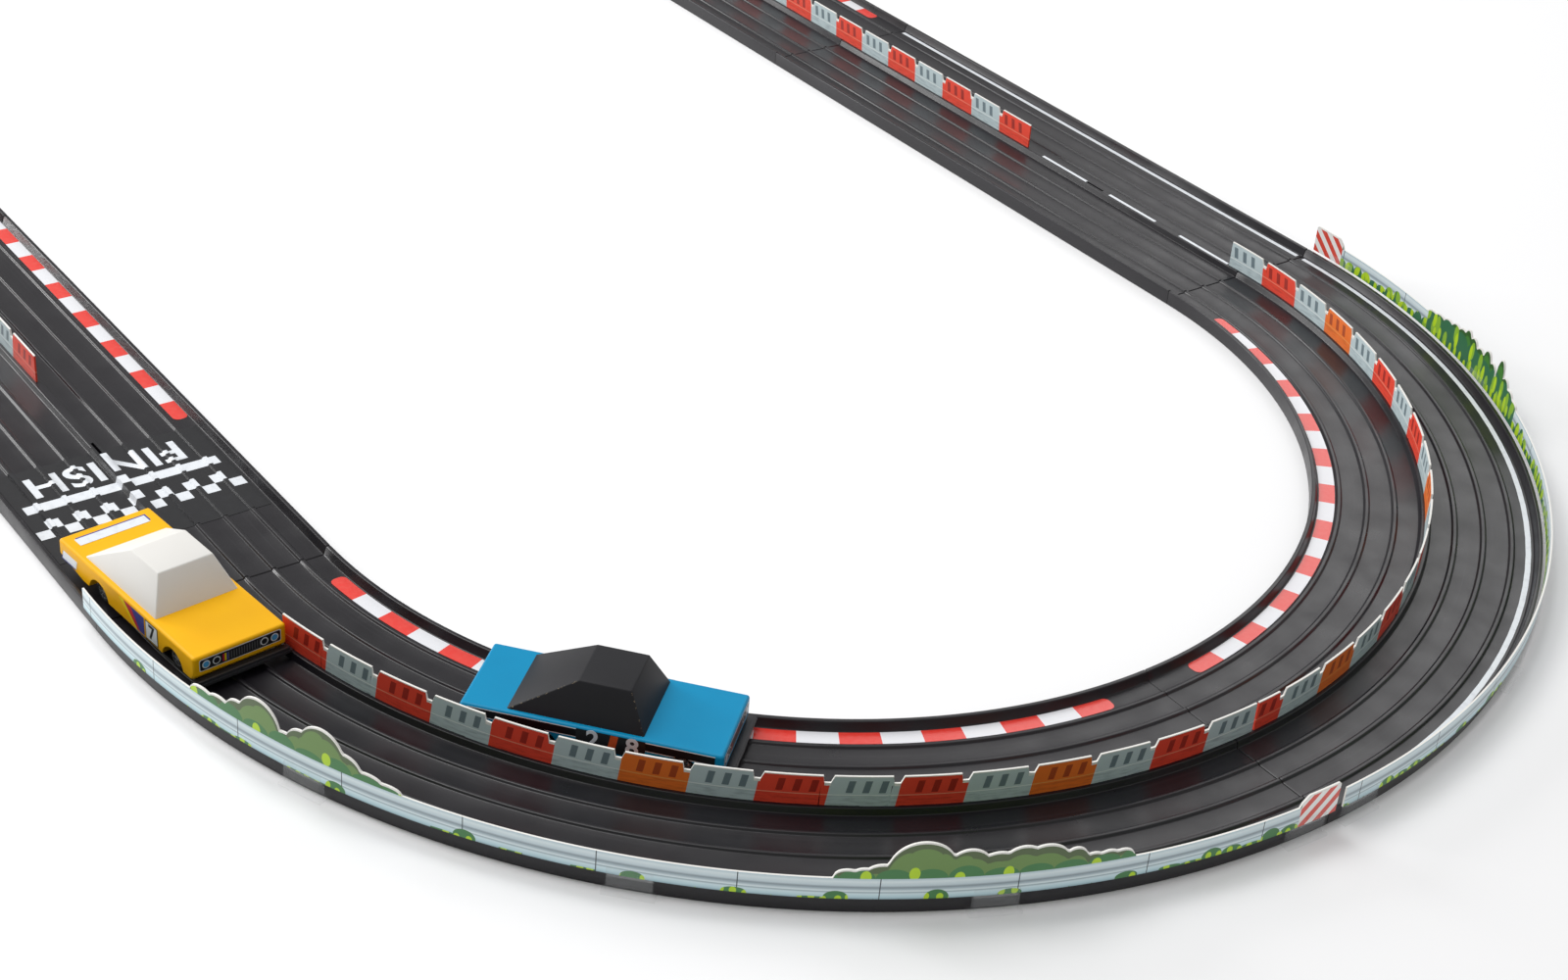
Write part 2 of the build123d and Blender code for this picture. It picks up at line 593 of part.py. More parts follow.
def chassis_piece(car):
    """Moulded floor plate with four axle bearings, a motor cradle and a rail for the switch."""
    posts = [bearing_post(car, x, y, y + BEARING_WIDTH) for x, y in BEARINGS]
    with BuildPart() as chassis:
        with BuildSketch(car.offset(CHASSIS_BOTTOM)):
            with Locations(((CHASSIS_REAR + CHASSIS_FRONT) / 2, 0)):
                Rectangle(CHASSIS_FRONT - CHASSIS_REAR, 2 * CHASSIS_HALF_WIDTH)
            with Locations((REAR_AXLE_X, 0), (FRONT_AXLE_X, 0)):
                Rectangle(13.0, 2 * CHASSIS_HALF_WIDTH + 2, mode=Mode.SUBTRACT)
            with Locations(((CHASSIS_REAR + CHASSIS_FRONT) / 2, 0)):
                Rectangle(CHASSIS_FRONT - CHASSIS_REAR, 2 * POCKET_HALF_WIDTH - 0.8)
            with Locations((REAR_AXLE_X, GEAR_Y)):
                Rectangle(9.6, GEAR_FACE + 1.0, mode=Mode.SUBTRACT)
            with Locations((SWITCH_X + SWITCH_TRAVEL / 2, SWITCH_Y)):
                Rectangle(SWITCH_TRAVEL + 2.2, 1.8, mode=Mode.SUBTRACT)
            with Locations(*SCREW_SPOTS[:2]):
                Circle(SCREW_RADIUS + 0.1, mode=Mode.SUBTRACT)
        extrude(amount=BODY_BOTTOM - CHASSIS_BOTTOM)
        with BuildSketch(car.offset(CHASSIS_BOTTOM)):
            with Locations(*SCREW_SPOTS[:2]):
                Circle(SCREW_HEAD + 0.1)
        extrude(amount=SCREW_HEAD_DEPTH, mode=Mode.SUBTRACT)
        with BuildSketch(car.offset(BODY_BOTTOM - 0.2)):
            with Locations((MOTOR_X, 0.6)):
                Rectangle(6.2, 12.4)
            with Locations((SWITCH_X + 1, SWITCH_Y + 1.7)):
                Rectangle(10.0, 0.6)
        extrude(amount=2.6)
        with BuildSketch(side_plane(car, MOTOR_X, 0, MOTOR_Z)):
            Circle(MOTOR_RADIUS)
        extrude(amount=12, both=True, mode=Mode.SUBTRACT)
        add(posts)
    return chassis.part


def blade_piece(car):
    """Guide blade ahead of the nose: a bar as wide as the lane, its lip and its mounting arm."""
    with BuildPart() as blade:
        with BuildSketch(car.offset(BLADE_BOTTOM)):
            with Locations(((BLADE_REAR + BLADE_FRONT) / 2, 0)):
                RectangleRounded(BLADE_FRONT - BLADE_REAR, 2 * BLADE_HALF_WIDTH, 0.8)
            with Locations(((CHASSIS_FRONT + BLADE_REAR) / 2 + 0.5, 0)):
                Rectangle(BLADE_REAR - CHASSIS_FRONT + 1, 16.0)
            with Locations(SCREW_SPOTS[2]):
                Circle(SCREW_RADIUS + 0.1, mode=Mode.SUBTRACT)
        extrude(amount=BLADE_TOP - BLADE_BOTTOM)
        with BuildSketch(car.offset(BLADE_TOP)):
            with Locations((BLADE_FRONT - 0.9, 0)):
                Rectangle(0.9, 2 * BLADE_HALF_WIDTH - 2)
        extrude(amount=BLADE_LIP_TOP - BLADE_TOP)
    return blade.part


def axle_piece(car, x):
    """Plain steel axle."""
    with BuildPart() as axle:
        with BuildSketch(side_plane(car, x, 0, AXLE_Z)):
            Circle(AXLE_RADIUS)
        extrude(amount=AXLE_LENGTH / 2, both=True)
    return axle.part


def wheel_pieces(car, x):
    """Two dished wheels of six spokes, pressed on the ends of an axle."""
    wheels = []
    for side in (1, -1):
        start = TYRE_OUTER if side > 0 else -TYRE_INNER
        face = TYRE_OUTER if side > 0 else -TYRE_OUTER
        with BuildPart() as wheel:
            with BuildSketch(side_plane(car, x, start, AXLE_Z)):
                Circle(RIM_RADIUS)
                Circle(AXLE_RADIUS, mode=Mode.SUBTRACT)
            extrude(amount=TYRE_OUTER - TYRE_INNER)
            with BuildSketch(side_plane(car, x, face, AXLE_Z)):
                Circle(RIM_RADIUS - 0.5)
                Circle(1.6, mode=Mode.SUBTRACT)
                with PolarLocations(2.2, 6):
                    Rectangle(1.6, 0.6, mode=Mode.SUBTRACT)
            extrude(amount=side * 1.2, mode=Mode.SUBTRACT)
        wheels.append(wheel.part)
    return Compound(children=wheels)


def tyre_pieces(car, x):
    """Two plain tyres with eased shoulders."""
    tyres = []
    for start in (TYRE_OUTER, -TYRE_INNER):
        with BuildPart() as tyre:
            with BuildSketch(side_plane(car, x, start, AXLE_Z)):
                Circle(TYRE_RADIUS)
            extrude(amount=TYRE_OUTER - TYRE_INNER)
            fillet(tyre.edges().filter_by(GeomType.CIRCLE), radius=0.5)
            with BuildSketch(side_plane(car, x, start, AXLE_Z)):
                Circle(RIM_RADIUS)
            extrude(amount=TYRE_OUTER - TYRE_INNER, mode=Mode.SUBTRACT)
        tyres.append(tyre.part)
    return Compound(children=tyres)


def toothed_wheel(car, x, y_high, z, teeth, bore, face, phase):
    """Spur wheel with tapered teeth; phase turns its first tooth from the car's front upwards."""
    pitch = GEAR_MODULE * teeth / 2
    root = pitch - 0.5
    tip = pitch + 0.35
    with BuildPart() as wheel:
        with BuildSketch(side_plane(car, x, y_high, z)):
            Circle(root)
            with PolarLocations((root + tip) / 2 - 0.1, teeth, start_angle=phase):
                Trapezoid(0.56, tip - root + 0.2, 76, rotation=-90)
            Circle(bore, mode=Mode.SUBTRACT)
        extrude(amount=face)
    return wheel.part


def motor_pieces(car):
    """Motor can, its end cap, and the shaft with the pinion."""
    with BuildPart() as can:
        with BuildSketch(side_plane(car, MOTOR_X, MOTOR_CAP_Y, MOTOR_Z)):
            Circle(MOTOR_RADIUS)
        extrude(amount=MOTOR_CAP_Y - MOTOR_FACE_Y)
        with BuildSketch(side_plane(car, MOTOR_X, MOTOR_CAP_Y, MOTOR_Z)):
            Circle(MOTOR_RADIUS - 0.5)
        extrude(amount=MOTOR_CAP_Y - MOTOR_FACE_Y - 0.6, mode=Mode.SUBTRACT)
        with BuildSketch(side_plane(car, MOTOR_X, MOTOR_CAP_Y, MOTOR_Z)):
            Circle(SHAFT_RADIUS + BEARING_PLAY)
        extrude(amount=MOTOR_CAP_Y - MOTOR_FACE_Y, mode=Mode.SUBTRACT)
    with BuildPart() as cap:
        with BuildSketch(side_plane(car, MOTOR_X, MOTOR_REAR_Y, MOTOR_Z)):
            Circle(MOTOR_RADIUS)
            Circle(SHAFT_RADIUS + BEARING_PLAY, mode=Mode.SUBTRACT)
        extrude(amount=MOTOR_REAR_Y - MOTOR_CAP_Y)
    with BuildPart() as shaft:
        with BuildSketch(side_plane(car, MOTOR_X, MOTOR_REAR_Y - 0.3, MOTOR_Z)):
            Circle(SHAFT_RADIUS)
        extrude(amount=MOTOR_REAR_Y - 0.3 - PINION_END_Y)
    # a gap between two pinion teeth faces the gear
    phase = MOTOR_RISE + 180 + 180 / PINION_TEETH
    top = GEAR_Y + GEAR_FACE / 2 + 0.2
    pinion = toothed_wheel(car, MOTOR_X, top, MOTOR_Z, PINION_TEETH, SHAFT_RADIUS, top - PINION_END_Y, phase)
    return can.part, cap.part, Compound(children=[shaft.part, pinion])


def block_piece(car, x_low, x_high, y_low, y_high, z_low, z_high, edge):
    """Box between six limits in the car's own axes, with eased upright edges."""
    with BuildPart() as block:
        with BuildSketch(car.offset(z_low)):
            with Locations(((x_low + x_high) / 2, (y_low + y_high) / 2)):
                RectangleRounded(x_high - x_low, y_high - y_low, edge)
        extrude(amount=z_high - z_low)
    return block.part


def board_piece(car):
    """Circuit board on top of the battery, with its chips."""
    with BuildPart() as board:
        with BuildSketch(car.offset(BATTERY_TOP)):
            with Locations((7.5, 0)):
                Rectangle(25.0, 16.0)
        extrude(amount=1.0)
        with BuildSketch(car.offset(BATTERY_TOP + 1.0)):
            with Locations((1.0, 2.0), (9.0, -2.5)):
                Rectangle(5.0, 5.0)
            with Locations((15.5, 3.0)):
                Rectangle(3.0, 6.0)
        extrude(amount=0.9)
    return board.part


def screw_pieces(car):
    """Three self-tapping screws that hold the floor plate and the blade to the wood."""
    screws = []
    for n, spot in enumerate(SCREW_SPOTS):
        head_low = CHASSIS_BOTTOM if n < 2 else BLADE_BOTTOM - SCREW_HEAD_DEPTH
        with BuildPart() as screw:
            with BuildSketch(car.offset(head_low)):
                with Locations(spot):
                    Circle(SCREW_HEAD)
            extrude(amount=SCREW_HEAD_DEPTH)
            with BuildSketch(car.offset(head_low + 0.2)):
                with Locations(spot):
                    Circle(SCREW_RADIUS)
            extrude(amount=BODY_BOTTOM + SCREW_REACH - head_low - 0.4)
            with BuildSketch(car.offset(head_low)):
                with Locations(spot):
                    Rectangle(2.0, 0.45)
                    Rectangle(0.45, 2.0)
            extrude(amount=0.5, mode=Mode.SUBTRACT)
        screws.append(screw.part)
    return Compound(children=screws)


def switch_piece(car):
    """Slider of the power switch: a head on the floor plate and a lever down through its slot."""
    with BuildPart() as switch:
        with BuildSketch(car.offset(BODY_BOTTOM + 0.05)):
            with Locations((SWITCH_X, SWITCH_Y)):
                Rectangle(3.4, 2.4)
        extrude(amount=1.4)
        with BuildSketch(car.offset(CHASSIS_BOTTOM - 1.0)):
            with Locations((SWITCH_X, SWITCH_Y)):
                Rectangle(1.6, 1.4)
        extrude(amount=BODY_BOTTOM - CHASSIS_BOTTOM + 1.2)
    return switch.part


def grille_piece(car):
    """Printed grille sticker on the nose."""
    with BuildPart() as grille:
        with BuildSketch(nose_plane(car, BODY_LENGTH / 2)):
            with Locations((0, (GRILLE_LOW + GRILLE_HIGH) / 2)):
                RectangleRounded(2 * GRILLE_HALF_WIDTH, GRILLE_HIGH - GRILLE_LOW, 0.8)
        extrude(amount=STICKER)
    return grille.part


def build_car(colour, radius, angle, yaw):
    """Build and save every piece of one car, standing on the right bend at an angle."""
    a = math.radians(angle)
    heading = math.radians(angle + 90 + yaw)
    car = Plane(
        origin=(BEND_X + radius * math.cos(a), radius * math.sin(a), 0),
        x_dir=(math.cos(heading), math.sin(heading), 0),
        z_dir=(0, 0, 1),
    )
    can, cap, rotor = motor_pieces(car)
    gear_top = GEAR_Y + GEAR_FACE / 2
    save(body_piece(car), f"{colour}_body")
    save(cabin_piece(car), f"{colour}_cabin")
    save(chassis_piece(car), f"{colour}_chassis")
    save(blade_piece(car), f"{colour}_guide_blade")
    save(block_piece(car, -6.5, 21.5, -8.0, 8.0, BODY_BOTTOM, BATTERY_TOP, 1.0), f"{colour}_battery")
    save(board_piece(car), f"{colour}_circuit_board")
    save(can, f"{colour}_motor_can")
    save(cap, f"{colour}_motor_end_cap")
    save(rotor, f"{colour}_motor_pinion")
    save(axle_piece(car, REAR_AXLE_X), f"{colour}_rear_axle")
    save(toothed_wheel(car, REAR_AXLE_X, gear_top, AXLE_Z, GEAR_TEETH, AXLE_RADIUS, GEAR_FACE, MOTOR_RISE),
         f"{colour}_rear_gear")
    save(wheel_pieces(car, REAR_AXLE_X), f"{colour}_rear_wheels")
    save(tyre_pieces(car, REAR_AXLE_X), f"{colour}_rear_tyres")
    save(axle_piece(car, FRONT_AXLE_X), f"{colour}_front_axle")
    save(wheel_pieces(car, FRONT_AXLE_X), f"{colour}_front_wheels")
    save(tyre_pieces(car, FRONT_AXLE_X), f"{colour}_front_tyres")
    save(screw_pieces(car), f"{colour}_screws")
    save(switch_piece(car), f"{colour}_power_switch")
    save(grille_piece(car), f"{colour}_grille_sticker")


build_car("yellow", 314.0, -88.8, 4.7)
build_car("blue", 261.0, -52.4, 2.9)
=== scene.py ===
"""Looks of a two-lane toy racing circuit with two painted wooden cars.

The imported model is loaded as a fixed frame. Each sub-assembly is a class that builds its meshes
with bpy.ops and dresses them; each finish is a frozen dataclass that makes one material.
Lengths in the classes are millimetres, and MM turns them into Blender's metres.
"""

import json
import logging
import math
from contextlib import contextmanager
from dataclasses import dataclass, field
from enum import Enum
from typing import Callable, Iterator, Sequence

import bmesh
import bpy
from mathutils import Matrix, Vector


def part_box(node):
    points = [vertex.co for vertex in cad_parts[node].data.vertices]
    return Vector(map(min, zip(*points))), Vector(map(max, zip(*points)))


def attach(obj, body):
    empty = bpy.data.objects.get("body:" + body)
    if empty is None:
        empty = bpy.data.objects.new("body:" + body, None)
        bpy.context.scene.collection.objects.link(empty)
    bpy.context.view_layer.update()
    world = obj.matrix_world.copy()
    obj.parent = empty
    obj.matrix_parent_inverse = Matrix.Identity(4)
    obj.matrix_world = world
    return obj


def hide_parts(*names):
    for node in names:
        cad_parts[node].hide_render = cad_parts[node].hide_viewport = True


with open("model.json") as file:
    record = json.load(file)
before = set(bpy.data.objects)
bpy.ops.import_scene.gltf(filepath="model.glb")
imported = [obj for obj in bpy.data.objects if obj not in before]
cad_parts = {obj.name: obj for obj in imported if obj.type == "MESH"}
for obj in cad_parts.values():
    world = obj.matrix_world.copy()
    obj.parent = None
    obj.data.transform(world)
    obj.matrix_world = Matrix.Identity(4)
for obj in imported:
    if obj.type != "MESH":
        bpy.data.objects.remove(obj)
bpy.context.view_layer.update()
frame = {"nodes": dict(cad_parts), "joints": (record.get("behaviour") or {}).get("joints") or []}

MM = 0.001
log = logging.getLogger("circuit")


# ---------------------------------------------------------------- colour and nodes
def linear(code: str) -> tuple[float, float, float, float]:
    """Turn an sRGB hex colour into linear values.

    Args:
        code: six hex digits after a hash.

    Returns:
        Red, green, blue and an alpha of one.
    """
    values = [int(code[n:n + 2], 16) / 255 for n in (1, 3, 5)]
    red, green, blue = (v / 12.92 if v <= 0.04045 else ((v + 0.055) / 1.055) ** 2.4 for v in values)
    return red, green, blue, 1.0


def node(tree: bpy.types.NodeTree, kind: str, inputs: dict | None = None,
         stops: Sequence[tuple[float, str]] = (), **settings: object) -> bpy.types.Node:
    """Add one shader node with its settings and links.

    Args:
        tree: the material's node tree.
        kind: the node's type.
        inputs: socket name or number to a value, to the output socket that feeds it, or to the
            node whose first output does.
        stops: a colour ramp's places from 0 to 1, each with an sRGB hex colour.
        settings: the node's own properties.

    Returns:
        The new node.
    """
    made = tree.nodes.new(kind)
    for name, value in settings.items():
        setattr(made, name, value)
    for socket, value in (inputs or {}).items():
        source = value.outputs[0] if isinstance(value, bpy.types.Node) else value
        if isinstance(source, bpy.types.NodeSocket):
            tree.links.new(source, made.inputs[socket])
        else:
            made.inputs[socket].default_value = source
    if stops:
        elements = made.color_ramp.elements
        while len(elements) < len(stops):
            elements.new(0.5)
        for element, (place, code) in zip(elements, stops):
            element.position = place
            element.color = linear(code)
    return made


class Surface(Enum):
    """Where a finish reads its pattern."""

    OBJECT = "Object"
    UV = "UV"


@dataclass(frozen=True)
class Finish:
    """A material with one principled shader.

    Attributes:
        name: the material's own name.
        roughness: typical roughness of the surface.
        ior: index of refraction of the outer layer.
    """

    name: str
    roughness: float = 0.45
    ior: float = 1.5

    def begin(self) -> tuple[bpy.types.Material, bpy.types.NodeTree, bpy.types.Node]:
        """Start the material and return it with its tree and its shader."""
        material = bpy.data.materials.new(self.name)
        material.use_nodes = True
        tree = material.node_tree
        shader = tree.nodes["Principled BSDF"]
        shader.inputs["Roughness"].default_value = self.roughness
        shader.inputs["IOR"].default_value = self.ior
        return material, tree, shader

    def place(self, tree: bpy.types.NodeTree, surface: Surface = Surface.OBJECT) -> bpy.types.NodeSocket:
        """Return the coordinates, in metres, that the pattern is drawn in."""
        return node(tree, "ShaderNodeTexCoord").outputs[surface.value]


@dataclass(frozen=True)
class MouldedPlastic(Finish):
    """Injection-moulded plastic: a spark-eroded grain, slow colour drift and fine rubbing marks.

    Attributes:
        light: colour of the rubbed patches.
        dark: colour between them.
        grain: spacing of the moulded grain in millimetres, drawn coarse enough to show.
        depth: height of the grain in millimetres.
        rub: how much lighter the long rubbing marks are, from 0 to 1.
    """

    light: str = "#303033"
    dark: str = "#232326"
    grain: float = 0.7
    depth: float = 0.02
    rub: float = 0.0

    def build(self) -> bpy.types.Material:
        """Make the material."""
        material, tree, shader = self.begin()
        spot = self.place(tree)
        drift = node(tree, "ShaderNodeTexNoise", {"Vector": spot, "Scale": 22.0, "Detail": 4.0})
        tint = node(tree, "ShaderNodeMix", {"Factor": drift, "A": linear(self.dark),
                                            "B": linear(self.light)}, data_type="RGBA")
        colour = tint.outputs[2]
        if self.rub:
            along = node(tree, "ShaderNodeMapping", {"Vector": self.place(tree, Surface.UV),
                                                     "Scale": (9.0, 620.0, 1.0)})
            marks = node(tree, "ShaderNodeTexNoise", {"Vector": along, "Scale": 1.0, "Detail": 3.0})
            streaks = node(tree, "ShaderNodeMapRange", {"Value": marks, "From Min": 0.58,
                                                        "From Max": 0.8, "To Max": self.rub})
            rubbed = node(tree, "ShaderNodeMix", {"Factor": streaks, "A": colour,
                                                  "B": linear("#5A595E")}, data_type="RGBA")
            colour = rubbed.outputs[2]
        tree.links.new(colour, shader.inputs["Base Color"])
        haze = node(tree, "ShaderNodeTexNoise", {"Vector": spot, "Scale": 60.0, "Detail": 5.0})
        rough = node(tree, "ShaderNodeMapRange", {"Value": haze, "From Min": 0.3, "From Max": 0.7,
                                                  "To Min": self.roughness - 0.05,
                                                  "To Max": self.roughness + 0.07})
        tree.links.new(rough.outputs[0], shader.inputs["Roughness"])
        pits = node(tree, "ShaderNodeTexNoise", {"Vector": spot, "Scale": 1.0 / (self.grain * MM),
                                                 "Detail": 2.0})
        bump = node(tree, "ShaderNodeBump", {"Height": pits, "Strength": 0.6,
                                             "Distance": self.depth * MM})
        tree.links.new(bump.outputs[0], shader.inputs["Normal"])
        return material


@dataclass(frozen=True)
class ClearPlastic(Finish):
    """Clear moulded polycarbonate: glassy, with faint flow haze from the mould."""

    def build(self) -> bpy.types.Material:
        """Make the material."""
        material, tree, shader = self.begin()
        shader.inputs["Base Color"].default_value = linear("#F4F7F8")
        shader.inputs["Alpha"].default_value = 0.07
        flow = node(tree, "ShaderNodeTexNoise", {"Vector": self.place(tree), "Scale": 90.0, "Detail": 3.0})
        haze = node(tree, "ShaderNodeMapRange", {"Value": flow, "To Min": self.roughness,
                                                 "To Max": self.roughness + 0.16})
        tree.links.new(haze.outputs[0], shader.inputs["Roughness"])
        return material


@dataclass(frozen=True)
class CutCard(Finish):
    """The white core of greyboard where it was die-cut: short matted fibres."""

    colour: str = "#F6F5F1"

    def build(self) -> bpy.types.Material:
        """Make the material."""
        material, tree, shader = self.begin()
        fibre = node(tree, "ShaderNodeTexNoise", {"Vector": self.place(tree), "Scale": 1400.0, "Detail": 3.0})
        tint = node(tree, "ShaderNodeMix", {"Factor": fibre, "A": linear("#E2E0DA"),
                                            "B": linear(self.colour)}, data_type="RGBA")
        tree.links.new(tint.outputs[2], shader.inputs["Base Color"])
        return material


@dataclass(frozen=True)
class BarrierPrint(Finish):
    """Offset print on varnished card: a road barrier block with three slanted slots and a rail.

    Attributes:
        colour: the block's main ink.
        shade: the ink in the slots.
        edge: the ink of the thin rail line.
        block: length of a block in millimetres.
        slot: width of a slot in millimetres.
        slot_pitch: distance between the slots.
        slot_start: how far into the block the first one begins.
        slot_middle: height of the slots' middles.
        slot_half: half the slots' height.
        rail: height of the rail line.
    """

    colour: str = "#E8442E"
    shade: str = "#8E1E16"
    edge: str = "#F59A80"
    block: float = 26.0
    slot: float = 2.6
    slot_pitch: float = 6.2
    slot_start: float = 6.9
    slot_middle: float = 15.5
    slot_half: float = 2.8
    rail: float = 11.7

    def build(self) -> bpy.types.Material:
        """Make the material. The UV map holds the distance along the card and the height, in metres."""
        material, tree, shader = self.begin()
        flat = self.place(tree, Surface.UV)
        axes = node(tree, "ShaderNodeSeparateXYZ", {0: flat})
        run, height = axes.outputs[0], axes.outputs[1]
        lean = node(tree, "ShaderNodeMath", {0: height, 1: -0.2, 2: 0.0030}, operation="MULTIPLY_ADD")
        leaned = node(tree, "ShaderNodeMath", {0: run, 1: lean}, operation="ADD")
        local = node(tree, "ShaderNodeMath", {0: leaned, 1: self.block * MM}, operation="FLOORED_MODULO")
        step = node(tree, "ShaderNodeMath", {0: local, 1: self.slot_start * MM}, operation="SUBTRACT")
        wave = node(tree, "ShaderNodeMath", {0: step, 1: self.slot_pitch * MM}, operation="FLOORED_MODULO")
        inside = node(tree, "ShaderNodeMath", {0: wave, 1: self.slot * MM}, operation="LESS_THAN")
        # only the first three slots count
        reach = (2 * self.slot_pitch + self.slot) / 2 * MM
        within = node(tree, "ShaderNodeMath", {0: step, 1: reach, 2: reach + 0.2 * MM}, operation="COMPARE")
        tall = node(tree, "ShaderNodeMath", {0: height, 1: self.slot_middle * MM, 2: self.slot_half * MM},
                    operation="COMPARE")
        both = node(tree, "ShaderNodeMath", {0: inside, 1: within}, operation="MULTIPLY")
        slot = node(tree, "ShaderNodeMath", {0: both, 1: tall}, operation="MULTIPLY")
        line = node(tree, "ShaderNodeMath", {0: height, 1: self.rail * MM, 2: 0.22 * MM}, operation="COMPARE")
        # ink is a little darker below the rail, in noisy streaks
        smear = node(tree, "ShaderNodeMapping", {"Vector": flat, "Scale": (150.0, 900.0, 1.0)})
        streak_noise = node(tree, "ShaderNodeTexNoise", {"Vector": smear, "Scale": 1.0, "Detail": 4.0})
        low = node(tree, "ShaderNodeMapRange", {"Value": height, "From Min": (self.rail + 0.1) * MM,
                                                "From Max": (self.rail - 0.5) * MM, "To Max": 0.45})
        worn = node(tree, "ShaderNodeMapRange", {"Value": streak_noise, "From Min": 0.45, "From Max": 0.7})
        shade = node(tree, "ShaderNodeMath", {0: low, 1: worn}, operation="MULTIPLY")
        base = node(tree, "ShaderNodeMix", {"Factor": shade, "A": linear(self.colour),
                                            "B": linear(self.shade)}, data_type="RGBA")
        holes = node(tree, "ShaderNodeMix", {"Factor": slot, "A": base.outputs[2],
                                             "B": linear(self.shade)}, data_type="RGBA")
        rail = node(tree, "ShaderNodeMix", {"Factor": line, "A": holes.outputs[2],
                                            "B": linear(self.edge)}, data_type="RGBA")
        tree.links.new(rail.outputs[2], shader.inputs["Base Color"])
        shader.inputs["Coat Weight"].default_value = 0.25
        shader.inputs["Coat Roughness"].default_value = 0.3
        return material


